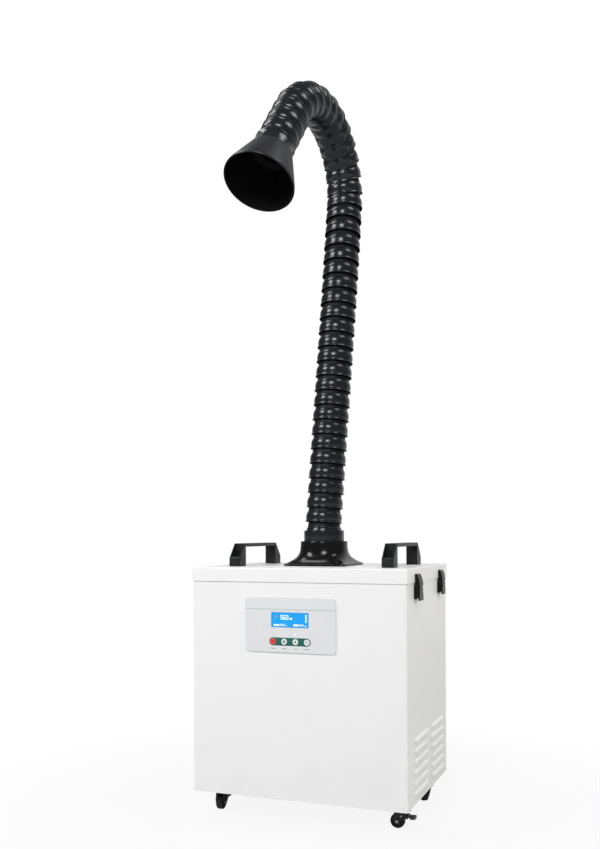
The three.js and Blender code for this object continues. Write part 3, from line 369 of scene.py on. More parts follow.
def node_copy(node):
    """A node's mesh with its doubles merged and its flat faces joined."""
    bm = bmesh.new()
    bm.from_mesh(frame["nodes"][node].data)
    bmesh.ops.remove_doubles(bm, verts=bm.verts, dist=1e-6)
    bmesh.ops.dissolve_limit(
        bm, angle_limit=math.radians(FLAT_TURN), use_dissolve_boundaries=False,
        verts=bm.verts, edges=bm.edges,
    )
    return bm


def softened(node, material, slot, radius, segments=2, turn=35.0):
    """A node with its edges rounded off."""
    bm = node_copy(node)
    rounded(bm, creases(bm, turn), radius, segments)
    piece = finished(f"{node}_soft", bm, material, frame["nodes"][node]["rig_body"], slot, node)
    even_shading(piece)


def turned(bm, profile, place, steps):
    """Spins a closed outline of (radius, height) points about the Z axis of place."""
    before = set(bm.verts)
    points = [bm.verts.new((radius * MM, 0, height * MM)) for radius, height in profile]
    edges = [bm.edges.new(pair) for pair in zip(points, points[1:] + points[:1])]
    bmesh.ops.spin(
        bm, geom=points + edges, cent=(0, 0, 0), axis=(0, 0, 1), angle=math.tau, steps=steps, use_merge=True,
    )
    made = [vert for vert in bm.verts if vert not in before]
    bmesh.ops.remove_doubles(bm, verts=made, dist=1e-7)
    made = [vert for vert in made if vert.is_valid]
    bmesh.ops.recalc_face_normals(bm, faces=list({face for vert in made for face in vert.link_faces}))
    bmesh.ops.transform(bm, matrix=place, verts=made)


def block(bm, low, high, radius=0.0, segments=2):
    """A box between two corners with its edges rounded."""
    made = bmesh.ops.create_cube(bm, size=1.0)["verts"]
    low, high = Vector(low) * MM, Vector(high) * MM
    bmesh.ops.scale(bm, vec=high - low, verts=made)
    bmesh.ops.translate(bm, vec=(low + high) / 2, verts=made)
    if radius:
        rounded(bm, list({edge for vert in made for edge in vert.link_edges}), radius, segments)


def drawn(bm, outline, depth, place):
    """Draws a flat outline of (across, up) points out along the Z axis of place."""
    corners = [bm.verts.new((across * MM, up * MM, 0)) for across, up in outline]
    face = bm.faces.new(corners)
    grown = bmesh.ops.extrude_face_region(bm, geom=[face])["geom"]
    top = [item for item in grown if isinstance(item, bmesh.types.BMVert)]
    bmesh.ops.translate(bm, vec=(0, 0, depth * MM), verts=top)
    made = corners + top
    bmesh.ops.recalc_face_normals(bm, faces=list({item for vert in made for item in vert.link_faces}))
    bmesh.ops.transform(bm, matrix=place, verts=made)


def at(x, y, z):
    return Matrix.Translation(Vector((x, y, z)) * MM)


def spun(degrees, axis):
    return Matrix.Rotation(math.radians(degrees), 4, axis)


def facing(x, y, z, direction):
    """A place at a point whose Z axis looks along a direction."""
    return at(x, y, z) @ Vector((0, 0, 1)).rotation_difference(Vector(direction)).to_matrix().to_4x4()


# Places whose X runs right and Y runs up when looked at from the front, and Z comes out of the panel
FRONT = Matrix(((1, 0, 0, 0), (0, 0, -1, 0), (0, 1, 0, 0), (0, 0, 0, 1)))


def on_front(x, z, y):
    return at(x, y, z) @ FRONT


# Arm
def along(point, direction):
    """A place at a point whose Z axis runs along the arm."""
    across = Vector((1, 0, 0))
    across = (across - across.dot(direction) * direction).normalized()
    over = direction.cross(across)
    place = Matrix((across, over, direction)).transposed().to_4x4()
    place.translation = point * MM
    return place


def bent(direction, heading, degrees):
    axis = Vector((math.cos(math.radians(heading)), math.sin(math.radians(heading)), 0))
    return Matrix.Rotation(math.radians(degrees), 3, axis) @ direction


def stretch(number, start, end):
    """How much of the step up to a ring lies between two points of the arm, counted in rings."""
    return max(0, min(number, end) - max(number - 1, start))


def arm_places():
    """A place for each ring, from the foot up, and one for the hood."""
    right, back = math.radians(LEAN_RIGHT), math.radians(LEAN_BACK)
    direction = Vector((math.sin(right), math.sin(back) * math.cos(right), math.cos(back) * math.cos(right)))
    point = Vector((0, 0, ARM_FOOT))
    places = []
    for number in range(sum(SECTION_RINGS)):
        direction = bent(direction, EASE_HEADING, stretch(number, EASE_START, ARCH_START) * EASE_BEND)
        direction = bent(direction, ARCH_HEADING, stretch(number, ARCH_START, TURN_START) * ARCH_BEND)
        direction = bent(direction, TURN_HEADING, stretch(number, TURN_START, STRAIGHT_START) * ARCH_BEND)
        places.append(along(point, direction))
        point = point + direction * RING_PITCH
    heading, dip = math.radians(HOOD_HEADING), math.radians(HOOD_DIP)
    level = math.cos(dip)
    direction = Vector((math.sin(heading) * level, -math.cos(heading) * level, -math.sin(dip)))
    places.append(along(point, direction))
    return places


# One ring's outline from its pivot: flared lip, barrel, shoulder, then the ball that goes into the next ring
RING_OUTSIDE = [
    (37.5, -9.9), (37.75, -9.95), (37.95, -9.6), (38.0, -9.1), (37.85, -8.6), (37.5, -8.0), (37.1, -7.3),
    (36.8, -6.6), (36.65, -5.8), (36.7, -5.0), (36.85, -4.0), (37.0, -2.6), (37.1, -1.0), (37.1, 0.8),
    (37.0, 2.6), (36.75, 4.4), (36.35, 6.2), (35.75, 8.0), (35.0, 9.7), (34.2, 10.9), (33.7, 12.1),
    (33.3, 13.6), (32.9, 16.2), (32.5, 18.4), (31.9, 20.6), (31.0, 22.6), (29.9, 24.6), (28.8, 25.3),
]
# A sleeve that leads the air into the ring below, and the socket round that ring's ball
SLEEVE = [(26.6, 8.4), (21.2, -12.0), (21.6, -12.4), (22.0, -12.1), (27.0, 5.0)]
SOCKET = [(30.0, 5.6), (32.4, 3.2), (34.2, 0.0), (35.4, -3.0)]
RING_INSIDE = [(27.6, 24.8), (27.4, 21.0), (27.4, 10.0)] + SLEEVE + SOCKET + [(36.9, -8.5)]
RING_STEPS = 72
BALL_START = 12.0


def ring(bm, place):
    """One ring with a glossy barrel and a dull ball."""
    before = set(bm.faces)
    turned(bm, RING_OUTSIDE + RING_INSIDE, place, RING_STEPS)
    inward = place.inverted()
    for face in bm.faces:
        if face not in before and (inward @ face.calc_center_median()).z > BALL_START * MM:
            face.material_index = 1


def arm():
    """Threads the rings of each section, and returns the hood's place."""
    places = arm_places()
    first = 0
    for number, count in enumerate(SECTION_RINGS, 1):
        bm = bmesh.new()
        for place in places[first:first + count]:
            ring(bm, place)
        name = f"arm_section_{number:02d}"
        finished(
            f"{name}_rings", bm, ring_black, name, "black_plastic", name, sharp=50.0, others=(ball_black,),
        )
        first += count
    return places[-1]


# The collar: a cup that turns in the flange, with the arm's lowest ring in it
COLLAR_FOOT = LID_TOP + 30.9
COLLAR_RIM = LID_TOP + 72.0
COLLAR_CUP = [
    (28.0, COLLAR_FOOT), (40.6, COLLAR_FOOT), (41.3, COLLAR_FOOT + 0.8), (41.3, COLLAR_RIM - 1.2),
    (41.1, COLLAR_RIM - 0.4), (40.5, COLLAR_RIM), (39.5, COLLAR_RIM - 0.2), (38.9, COLLAR_RIM - 1.0),
    (38.5, COLLAR_RIM - 3.0), (35.0, COLLAR_RIM - 3.6), (28.0, COLLAR_RIM - 8.0),
]


def collar():
    bm = bmesh.new()
    turned(bm, COLLAR_CUP, Matrix.Identity(4), RING_STEPS)
    ring(bm, at(0, 0, ARM_FOOT - RING_PITCH))
    finished(
        "arm_collar_cup", bm, ring_black, "arm_collar", "black_plastic", "arm_collar",
        sharp=50.0, others=(ball_black,),
    )


# The hood from its pivot: a neck like a ring, the cone, the bead round the mouth, and back inside to a socket
HOOD_OUTSIDE = [
    (36.9, -9.4), (37.7, -9.6), (38.4, -9.2), (38.7, -8.2), (38.6, -7.2), (38.2, -5.6), (37.9, -3.6),
    (37.8, -1.0), (38.0, 2.5), (38.4, 6.0), (38.9, 9.5), (39.4, 12.4), (39.7, 14.0), (39.7, 15.0),
    (40.1, 15.6), (41.1, 17.0), (42.3, 19.8), (65.0, 83.5), (65.4, 86.6), (65.6, 88.2), (66.2, 88.6),
    (66.6, 89.3), (66.7, 90.1), (66.5, 90.9), (66.0, 91.5), (65.2, 91.7), (64.4, 91.4),
]
HOOD_CONE_INSIDE = [(63.9, 90.8), (63.7, 89.5), (62.9, 83.0), (39.9, 18.5), (37.0, 11.6), (30.5, 9.6)]
HOOD_INSIDE = HOOD_CONE_INSIDE + SLEEVE + SOCKET + [(36.6, -8.4)]
HOOD_STEPS = 112
HOOD_NECK = 15.3
HOOD_BEAD = 88.3


def hood(place):
    """The hood, with painted shade darkening its inside, and glossy on its neck and bead."""
    bm = bmesh.new()
    turned(bm, HOOD_OUTSIDE + HOOD_INSIDE, place, HOOD_STEPS)
    inward = place.inverted()
    unturned = place.to_3x3().inverted()
    for face in bm.faces:
        spot = inward @ face.calc_center_median()
        out = unturned @ face.normal
        # Faces that look in towards the axis take the painted shade of the inside
        if spot.x * out.x + spot.y * out.y < 0:
            face.material_index = 1
        elif spot.z < HOOD_NECK * MM or spot.z > HOOD_BEAD * MM:
            face.material_index = 2
    finished(
        "hood_cone", bm, hood_black, "hood", "black_plastic", "hood",
        sharp=55.0, others=(hood_painted_shade, ring_black),
    )


# Duct flange: level, reach and squareness of each course, from the foot up, over the rim and down the bore
FLANGE_COURSES = [
    (0.4, 64.9, 24.0), (0.9, 65.5, 24.0), (3.6, 65.5, 24.0), (4.4, 64.9, 20.0), (5.4, 63.2, 14.0),
    (7.2, 60.8, 9.0), (9.6, 58.2, 6.2), (12.5, 55.6, 4.6), (16.0, 53.2, 3.5), (20.0, 51.4, 2.8),
    (25.0, 50.0, 2.35), (31.0, 49.2, 2.1), (38.0, 48.7, 2.0), (47.5, 48.4, 2.0), (49.3, 48.2, 2.0),
    (50.0, 47.5, 2.0), (50.0, 43.4, 2.0), (49.2, 42.5, 2.0), (45.0, 42.0, 2.0), (30.4, 42.0, 2.0),
    (30.4, 36.2, 2.0), (0.4, 36.2, 2.0),
]
FLANGE_STEPS = 192
FLANGE_SCREWS = [(-52.5, -52.5), (52.5, -52.5), (-52.5, 52.5), (52.5, 52.5)]
SCREW_HEAD = [(0, 0), (3.3, 0), (3.4, 0.5), (3.2, 1.3), (2.4, 2.0), (1.5, 2.2), (1.35, 1.0), (0, 0.9)]
SCREW_STEPS = 20
SCREW_SEAT = LID_TOP + 4.0
POCKET_FLOOR = LID_TOP + 3.9
POCKET_OUTLINE = [(0, 0), (5.4, 0), (5.6, 0.3), (6.4, 40.0), (0, 40.0)]
POCKET_STEPS = 32


def flange_course(verts, level, reach, square):
    """Sets a loop of points at a level, on a square with corners as round as square says."""
    for vert in verts:
        angle = math.atan2(vert.co.y, vert.co.x)
        across = abs(math.cos(angle)) ** square + abs(math.sin(angle)) ** square
        radius = reach / across ** (1 / square)
        vert.co = Vector((radius * math.cos(angle), radius * math.sin(angle), LID_TOP + level)) * MM


def flange():
    bm = bmesh.new()
    start = FLANGE_COURSES[0]
    course = bmesh.ops.create_circle(bm, cap_ends=False, radius=start[1] * MM, segments=FLANGE_STEPS)["verts"]
    flange_course(course, *start)
    foot = list({edge for vert in course for edge in vert.link_edges})
    edges = foot
    for level, reach, square in FLANGE_COURSES[1:]:
        grown = bmesh.ops.extrude_edge_only(bm, edges=edges)["geom"]
        edges = [item for item in grown if isinstance(item, bmesh.types.BMEdge)]
        flange_course([item for item in grown if isinstance(item, bmesh.types.BMVert)], level, reach, square)
    bmesh.ops.bridge_loops(bm, edges=edges + foot)
    bmesh.ops.recalc_face_normals(bm, faces=bm.faces)
    piece = finished("duct_flange_flare", bm, flange_black, "lid", "black_plastic", "duct_flange", sharp=50.0)
    screw_pockets(piece)
    bm = bmesh.new()
    for x, y in FLANGE_SCREWS:
        screw(bm, at(x, y, SCREW_SEAT))
    finished("duct_flange_screws", bm, bright_zinc, "lid", "zinc_steel")


def screw(bm, place):
    turned(bm, SCREW_HEAD, place, SCREW_STEPS)


def screw_pockets(piece):
    """Sinks a round pocket for a screw into each corner of the flange."""
    bm = bmesh.new()
    for x, y in FLANGE_SCREWS:
        turned(bm, POCKET_OUTLINE, at(x, y, POCKET_FLOOR), POCKET_STEPS)
    mesh = bpy.data.meshes.new("pocket_drills")
    bm.to_mesh(mesh)
    bm.free()
    drills = bpy.data.objects.new("pocket_drills", mesh)
    scene.collection.objects.link(drills)
    cut = piece.modifiers.new("pockets", "BOOLEAN")
    cut.operation = "DIFFERENCE"
    cut.solver = "EXACT"
    cut.object = drills
    bpy.context.view_layer.update()
    sunk = bpy.data.meshes.new_from_object(piece.evaluated_get(bpy.context.evaluated_depsgraph_get()))
    piece.modifiers.clear()
    piece.data = sunk
    bpy.data.objects.remove(drills)


# Cabinet
SHELL_FOLD = 2.2
SHELL_UPRIGHT = 0.05
LOUVRE_LIFT = 0.0001
LOUVRE_FOLD = 0.7
SHELL_RIM = 0.4
LID_FOLD = 2.0
LID_UPRIGHT = 0.01


def cabinet():
    """The body, with its upright folds, its pressed louvres and its lower rim rounded."""
    bm = node_copy("cabinet_shell")
    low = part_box("cabinet_shell")[0]
    wide, deep, foot = -low.x, -low.y, low.z + NEAR
    upright = [
        edge for edge in bm.edges
        if all(abs(abs(vert.co.x) - wide) < NEAR and abs(abs(vert.co.y) - deep) < NEAR for vert in edge.verts)
        and rise(edge) > SHELL_UPRIGHT
    ]
    rounded(bm, upright, SHELL_FOLD, 4, clamp=False)
    pressed = [
        edge for edge in creases(bm, 20.0) if all(vert.co.x > wide + LOUVRE_LIFT for vert in edge.verts)
    ]
    rounded(bm, pressed, LOUVRE_FOLD, 2)
    rims = [edge for edge in creases(bm, 60.0) if all(vert.co.z < foot for vert in edge.verts)]
    rounded(bm, rims, SHELL_RIM, 2)
    even_shading(
        finished("cabinet_body", bm, powder_white, "cabinet", "white_steel", "cabinet_shell", sharp=34.0)
    )


def lid():
    """The tray, with its top edge and its corners rounded."""
    bm = node_copy("lid")
    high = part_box("lid")[1]
    wide, deep = high.x - 1e-4, high.y - 1e-4
    outer = [
        edge for edge in creases(bm, 60.0)
        if all(abs(vert.co.x) > wide or abs(vert.co.y) > deep for vert in edge.verts)
        and all(abs(vert.co.z - high.z) < NEAR for vert in edge.verts)
    ]
    corners = [
        edge for edge in bm.edges
        if all(abs(vert.co.x) > wide and abs(vert.co.y) > deep for vert in edge.verts)
        and rise(edge) > LID_UPRIGHT
    ]
    rounded(bm, outer + corners, LID_FOLD, 4, clamp=False)
    even_shading(finished("lid_tray", bm, powder_white, "lid", "white_steel", "lid", sharp=34.0))


# Rear panel
SCREW_INSET = 6.0
INLET_PINS = ((0, 2.6), (-7, -1.6), (7, -1.6))
PIN_ROOT, PIN_TIP = 22.0, 6.0
PIN_WIDTH, PIN_HEIGHT = 2.0, 4.0


def rear():
    softened("rear_panel", powder_white, "white_steel", 0.5)
    bm = bmesh.new()
    low, high = box_mm("rear_panel")
    columns = [low.x + SCREW_INSET, 0, high.x - SCREW_INSET]
    rows = [low.z + SCREW_INSET, (low.z + high.z) / 2, high.z - SCREW_INSET]
    for x in columns:
        for z in rows:
            if (x, z) != (columns[1], rows[1]):
                screw(bm, facing(x, REAR_FACE, z, (0, 1, 0)))
    finished("rear_panel_screws", bm, bright_zinc, "cabinet", "zinc_steel")
    softened("power_inlet", fork_black, "black_plastic", 0.8)
    low, high = box_mm("power_inlet")
    middle = (low + high) / 2
    reach = Vector((PIN_WIDTH, 0, PIN_HEIGHT)) / 2
    bm = bmesh.new()
    for x, z in INLET_PINS:
        root = Vector((middle.x + x, high.y - PIN_ROOT, middle.z + z))
        tip = Vector((middle.x + x, high.y - PIN_TIP, middle.z + z))
        block(bm, root - reach, tip + reach, 0.5)
    finished("power_inlet_pins", bm, bright_zinc, "cabinet", "zinc_steel")


# Control panel: prints stand a hair proud of the film and are sunk into it
KEY_MIDDLES = [sum(box_mm(f"button_{number}"), Vector()) / 2 for number in range(1, 5)]
KEY_LEVEL = KEY_MIDDLES[0].z
PRINT_SINK = 0.3
RULE_REACH = 92.3
RULE_FOOT, RULE_HEAD = 360.4, 361.6
RULE_RAISE = 0.08
MARK_WIDTHS = (11.0, 9.5, 9.0, 12.0)
MARK_FOOT, MARK_HEAD = 285.6, 286.7
MARK_RAISE = 0.06
PANEL_LAMP = [(0, -0.4), (2.2, -0.4), (2.25, 0.1), (1.7, 0.45), (0, 0.6)]
PANEL_LAMP_X, PANEL_LAMP_LEVEL = 0.6, 313.8
PANEL_LAMP_STEPS = 28


def panel_print(bm, middle, reach, foot, head, raised):
    low = (middle - reach, PANEL_FACE - raised, foot)
    high = (middle + reach, PANEL_FACE + PRINT_SINK, head)
    block(bm, low, high)


def panel():
    softened("control_panel", panel_film, "panel_film", 0.35)
    bm = bmesh.new()
    panel_print(bm, PANEL_MIDDLE, RULE_REACH, RULE_FOOT, RULE_HEAD, RULE_RAISE)
    finished("panel_rule", bm, teal_rule, "cabinet", "panel_film")
    keys = [middle.x for middle in KEY_MIDDLES]
    bm = bmesh.new()
    key_pill(bm, keys)
    finished("key_pill", bm, teal_print, "cabinet", "panel_film")
    bm = bmesh.new()
    for x, wide in zip(keys, MARK_WIDTHS):
        panel_print(bm, x, wide / 2, MARK_FOOT, MARK_HEAD, MARK_RAISE)
    finished("key_marks", bm, mark_teal, "cabinet", "panel_film")
    bm = bmesh.new()
    turned(bm, PANEL_LAMP, on_front(PANEL_LAMP_X, PANEL_LAMP_LEVEL, PANEL_FACE), PANEL_LAMP_STEPS)
    finished("panel_lamp", bm, dot_white, "cabinet", "key_white")
    buttons(keys)
    display()


PILL_RADIUS = 7.65
PILL_STEPS = 48
PILL_RAISE = 0.12
KEY_HOLE = 6.0
KEY_STEPS = 40


def key_pill(bm, keys):
    """A flat pill with a hole for each key, filled between its outline and the holes."""
    face = PANEL_FACE - PILL_RAISE
    outline = []
    for x, side in ((keys[-1], 1), (keys[0], -1)):
        for step in range(PILL_STEPS + 1):
            turn = math.pi * step / PILL_STEPS
            across = x + side * PILL_RADIUS * math.sin(turn)
            outline.append((across, KEY_LEVEL + side * PILL_RADIUS * math.cos(turn)))
    verts = [bm.verts.new(Vector((x, face, z)) * MM) for x, z in outline]
    edges = [bm.edges.new(pair) for pair in zip(verts, verts[1:] + verts[:1])]
    for x in keys:
        place = on_front(x, KEY_LEVEL, face)
        hole = bmesh.ops.create_circle(bm, radius=KEY_HOLE * MM, segments=KEY_STEPS, matrix=place)["verts"]
        edges += list({edge for vert in hole for edge in vert.link_edges})
    bmesh.ops.triangle_fill(bm, use_beauty=True, edges=edges)
    grown = bmesh.ops.extrude_face_region(bm, geom=list(bm.faces))["geom"]
    back = [item for item in grown if isinstance(item, bmesh.types.BMVert)]
    bmesh.ops.translate(bm, vec=(0, PRINT_SINK * MM, 0), verts=back)
    bmesh.ops.recalc_face_normals(bm, faces=bm.faces)


# Buttons: a dished cap with a flange behind the panel, and a raised mark in the dish
CAP_FACE = box_mm("button_1")[0].y
RED_LOOK = (red_key, deep_red, "key_red")
WHITE_LOOK = (white_key, teal_print, "key_white")
CAP_OUTLINE = [
    (0, -4.7), (7.1, -4.7), (7.1, -3.6), (5.7, -3.5), (5.7, -0.5), (5.55, -0.15), (5.2, 0), (4.4, -0.02),
    (4.1, -0.22), (0, -0.25),
]
MARK_FACE = CAP_FACE + 0.28
MARK_DEPTH = 0.12
RING_MARK = [(1.0, 0), (2.1, 0), (2.1, MARK_DEPTH), (1.0, MARK_DEPTH)]
RING_MARK_STEPS = 32
FAN_BLADES = 6
FAN_BLADE = [(-0.25, 0.4), (0.25, 0.4), (1.1, 2.9), (0.3, 3.3), (-0.5, 3.0)]
ARROW_MARK = [(-2.6, -2.2), (-1.0, -1.6), (0, -2.4), (1.0, -1.6), (2.6, -2.2), (0, 3.1)]
HATCH_ROWS = (-1.5, 0.0, 1.5)
HATCH_REACH, HATCH_HALF = 2.4, 0.25


def ring_mark(bm, place):
    turned(bm, RING_MARK, place, RING_MARK_STEPS)


def fan_mark(bm, place):
    for blade in range(FAN_BLADES):
        drawn(bm, FAN_BLADE, MARK_DEPTH, place @ spun(blade * 360 / FAN_BLADES, "Z"))


def arrow_mark(bm, place):
    drawn(bm, ARROW_MARK, MARK_DEPTH, place)


def hatch_mark(bm, place):
    for row in HATCH_ROWS:
        foot, head = row - HATCH_HALF, row + HATCH_HALF
        bar = [(-HATCH_REACH, foot), (HATCH_REACH, foot), (HATCH_REACH, head), (-HATCH_REACH, head)]
        drawn(bm, bar, MARK_DEPTH, place @ spun(45, "Z"))


def buttons(keys):
    """A red key with a ring on it, then three white keys with a fan, an arrow and a hatch."""
    marks = (ring_mark, fan_mark, arrow_mark, hatch_mark)
    for number, (x, mark) in enumerate(zip(keys, marks), 1):
        name = f"button_{number}"
        cap, ink, slot = RED_LOOK if number == 1 else WHITE_LOOK
        bm = bmesh.new()
        turned(bm, CAP_OUTLINE, on_front(x, KEY_LEVEL, CAP_FACE), KEY_STEPS)
        finished(f"{name}_cap", bm, cap, name, slot, name, sharp=45.0)
        bm = bmesh.new()
        mark(bm, on_front(x, KEY_LEVEL, MARK_FACE))
        finished(f"{name}_mark", bm, ink, name, slot)


# Display, whose contents are placed by shares of its width and height
DISPLAY_LOW, DISPLAY_HIGH = box_mm("display")
DISPLAY_SPAN = DISPLAY_HIGH - DISPLAY_LOW
LIT_RAISE, LIT_SINK = 0.09, 0.1
# Plain bars: left, right, foot and head
BARS = (
    (0.5, 0.56, 0.53, 0.65), (0.07, 0.205, 0.1, 0.2), (0.39, 0.425, 0.09, 0.13), (0.6, 0.725, 0.1, 0.22),
    (0.9, 0.94, 0.08, 0.15),
)
# Rows of digits: text, left, foot, pitch, width and height
READOUTS = (
    ("560", 0.25, 0.53, 0.078, 0.056, 0.29), ("2350", 0.225, 0.09, 0.038, 0.026, 0.13),
    ("0264", 0.74, 0.1, 0.036, 0.025, 0.13),
)
# Strokes of a digit: t top, q upper right, r lower right, d foot, l lower left, f upper left, m middle
STROKES = {"0": "tqrdlf", "2": "tqmld", "3": "tqmrd", "4": "fmqr", "5": "tfdmr", "6": "tfdmrl"}
STROKE_ACROSS, STROKE_UP = 0.24, 0.14
# A ladder of steps at the right edge
LADDER_STEPS = 9
LADDER_LEFT, LADDER_RIGHT = 0.915, 0.95
LADDER_FOOT, LADDER_HEAD, LADDER_PITCH = 0.36, 0.4, 0.06
# Two small signs: name, finish, place across and up, and turn in degrees
SIGNS = (("leaf", display_green, 0.095, 0.66, 35), ("flame", display_orange, 0.14, 0.72, -145))
SIGN_OUTLINE = [(-1.9, -0.6), (-0.6, -1.4), (1.0, -1.1), (2.2, 0.5), (0.6, 0.9), (-0.9, 0.7)]
SIGN_DEPTH = 0.1


def on_display(across, up, sink):
    """A point at shares of the display's width and height, and so deep in its face."""
    x = DISPLAY_LOW.x + across * DISPLAY_SPAN.x
    return x, DISPLAY_LOW.y + sink, DISPLAY_LOW.z + up * DISPLAY_SPAN.z


def lit(bm, left, right, foot, head):
    """A lit bar of the display."""
    block(bm, on_display(left, foot, -LIT_RAISE), on_display(right, head, LIT_SINK))


def digit(bm, number, left, foot, wide, high):
    thin_x, thin_z = wide * STROKE_ACROSS, high * STROKE_UP
    half = high / 2
    spans = {
        "t": (0, wide, high - thin_z, high), "m": (0, wide, half - thin_z / 2, half + thin_z / 2),
        "d": (0, wide, 0, thin_z), "q": (wide - thin_x, wide, half, high),
        "r": (wide - thin_x, wide, 0, half), "l": (0, thin_x, 0, half), "f": (0, thin_x, half, high),
    }
    for stroke in STROKES[number]:
        x0, x1, z0, z1 = spans[stroke]
        lit(bm, left + x0, left + x1, foot + z0, foot + z1)


def display():
    softened("display", display_blue, "display_blue", 0.3)
    bm = bmesh.new()
    for text, left, foot, pitch, wide, high in READOUTS:
        for index, number in enumerate(text):
            digit(bm, number, left + index * pitch, foot, wide, high)
    for left, right, foot, head in BARS:
        lit(bm, left, right, foot, head)
    for step in range(LADDER_STEPS):
        lift = step * LADDER_PITCH
        lit(bm, LADDER_LEFT, LADDER_RIGHT, LADDER_FOOT + lift, LADDER_HEAD + lift)
    finished("display_readout", bm, display_white, "cabinet", "display_blue")
    for name, material, across, up, turn in SIGNS:
        bm = bmesh.new()
        drawn(bm, SIGN_OUTLINE, SIGN_DEPTH, at(*on_display(across, up, 0)) @ FRONT @ spun(turn, "Z"))
        finished(f"display_{name}", bm, material, "cabinet", "display_blue")


# Handles and latches
def handles():
    for side in ("left", "right"):
        softened(f"handle_{side}", grained_black, "black_plastic", 1.1, 3)


# The claw from the side: out from the lid's skirt, and up
CLAW_OUTLINE = [
    (0, 0.2), (8.9, 0.2), (9.05, 0.35), (9.1, 0.7), (9.1, 3.0), (8.9, 6.0), (8.4, 9.5), (7.7, 13.0),
    (6.8, 16.2), (5.8, 19.0), (4.9, 21.2), (4.0, 22.9), (3.1, 23.7), (2.2, 24.0), (0, 24.0),
]
CLAW_EDGE = 1.3


def latches():
    for side, out in (("right", 1), ("left", -1)):
        for end in ("front", "rear"):
            softened(f"latch_base_{side}_{end}", latch_black, "black_plastic", 0.5)
            softened(f"latch_lever_{side}_{end}", latch_black, "black_plastic", 0.7)
            claw_hook(f"latch_claw_{side}_{end}", out)


def claw_hook(claw, out):
    low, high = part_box(claw)
    inner = low.x if out > 0 else high.x
    place = Matrix(((out, 0, 0, inner), (0, 0, 1, low.y), (0, 1, 0, low.z), (0, 0, 0, 1)))
    bm = bmesh.new()
    drawn(bm, CLAW_OUTLINE, (high.y - low.y) / MM, place)
    bmesh.ops.recalc_face_normals(bm, faces=bm.faces)
    ends = [edge for edge in creases(bm, 60.0) if abs(edge.verts[0].co.y - edge.verts[1].co.y) < NEAR]
    rounded(bm, ends, CLAW_EDGE, 3)
    even_shading(finished(f"{claw}_hook", bm, latch_black, "lid", "black_plastic", claw))


# Casters: name, x, y and heading of the trailing wheel
CASTERS = (
    ("front_left", -189.0, -92.0, -90.0), ("front_right", 189.0, -92.0, 180.0),
    ("rear_left", -189.0, 92.0, 70.0), ("rear_right", 189.0, 92.0, 120.0),
)
BRAKED = ("front_left", "front_right")
CASTER_TRAIL = 9.0
WHEEL_RADIUS = 14.0
TYRE_OUTLINE = [
    (3.0, -6.5), (5.6, -6.5), (6.0, -5.6), (9.1, -5.6), (9.5, -6.4), (11.4, -6.5), (12.7, -6.0), (13.6, -4.8),
    (14.0, -3.0), (14.0, -1.2), (13.6, -0.9), (13.6, 0.9), (14.0, 1.2), (14.0, 3.0), (13.6, 4.8), (12.7, 6.0),
    (11.4, 6.5), (9.5, 6.4), (9.1, 5.6), (6.0, 5.6), (5.6, 6.5), (3.0, 6.5),
]
TYRE_STEPS = 56
FORK_SIDE = 9.5
AXLE_CAP = [(0, -0.4), (3.4, -0.4), (3.5, 0.3), (3.0, 1.0), (2.0, 1.3), (0, 1.4)]
AXLE_CAP_STEPS = 28
RIVET = [(0, -0.4), (1.9, -0.4), (1.9, 0.4), (1.3, 0.9), (0, 1.1)]
RIVET_STEPS = 24
RIVET_TRAIL, RIVET_LEVEL = 0.5, -30.0


def casters():
    for spot, x, y, heading in CASTERS:
        turn = at(x, y, 0) @ spun(heading, "Z")
        axle = turn @ at(CASTER_TRAIL, 0, FLOOR + WHEEL_RADIUS)
        softened(f"caster_fork_{spot}", fork_black, "black_plastic", 0.6)
        bm = bmesh.new()
        turned(bm, TYRE_OUTLINE, axle @ spun(90, "X"), TYRE_STEPS)
        wheel = f"caster_wheel_{spot}"
        finished(f"{wheel}_tyre", bm, tyre_black, wheel, "rubber", wheel, sharp=45.0)
        bm = bmesh.new()
        for out in (1, -1):
            side = spun(-90 * out, "X")
            turned(bm, AXLE_CAP, axle @ at(0, out * FORK_SIDE, 0) @ side, AXLE_CAP_STEPS)
            turned(bm, RIVET, turn @ at(RIVET_TRAIL, out * FORK_SIDE, RIVET_LEVEL) @ side, RIVET_STEPS)
        finished(f"caster_caps_{spot}", bm, bright_zinc, f"caster_fork_{spot}", "zinc_steel")
    for spot in BRAKED:
        softened(f"brake_pedal_{spot}", pedal_grey, "grey_plastic", 1.0, 3)


def carried_over():
    """Nodes whose shape is right as it is get their finish only."""
    looks = {
        "base_pan": galvanised, "filter_shelf": galvanised, "blower_housing": galvanised,
        "blower_motor": motor_dark, "impeller": impeller_grey, "main_filter": filter_fibre,
        "pre_filter": filter_fibre, "control_board": board_green, "lid_gasket": gasket_foam,
    }
    for node, material in looks.items():
        mesh = frame["nodes"][node].data
        mesh.materials.clear()
        mesh.materials.append(material)


# Camera: focal length, frame height and horizon in pixels, place in millimetres, turns in degrees
SENSOR = 36.0
FRAME_HEIGHT = 849.0
FOCAL_LENGTH = 917.8
HORIZON_SHIFT = 108.5
CAMERA_PLACE = (644, -1788, 507)
CAMERA_HEADING = 21.31
CAMERA_ROLL = -0.26
VIEW_REACH = 60.0


def camera():
    lens = bpy.data.cameras.new("front_camera")
    lens.sensor_fit = "AUTO"
    lens.sensor_width = SENSOR
    lens.lens = FOCAL_LENGTH * SENSOR / FRAME_HEIGHT
    lens.shift_y = HORIZON_SHIFT / FRAME_HEIGHT
    lens.clip_end = VIEW_REACH
    viewer = bpy.data.objects.new("front_camera", lens)
    scene.collection.objects.link(viewer)
    aim = spun(CAMERA_HEADING, "Z") @ spun(90, "X") @ spun(CAMERA_ROLL, "Z")
    viewer.matrix_world = at(*CAMERA_PLACE) @ aim
    scene.camera = viewer


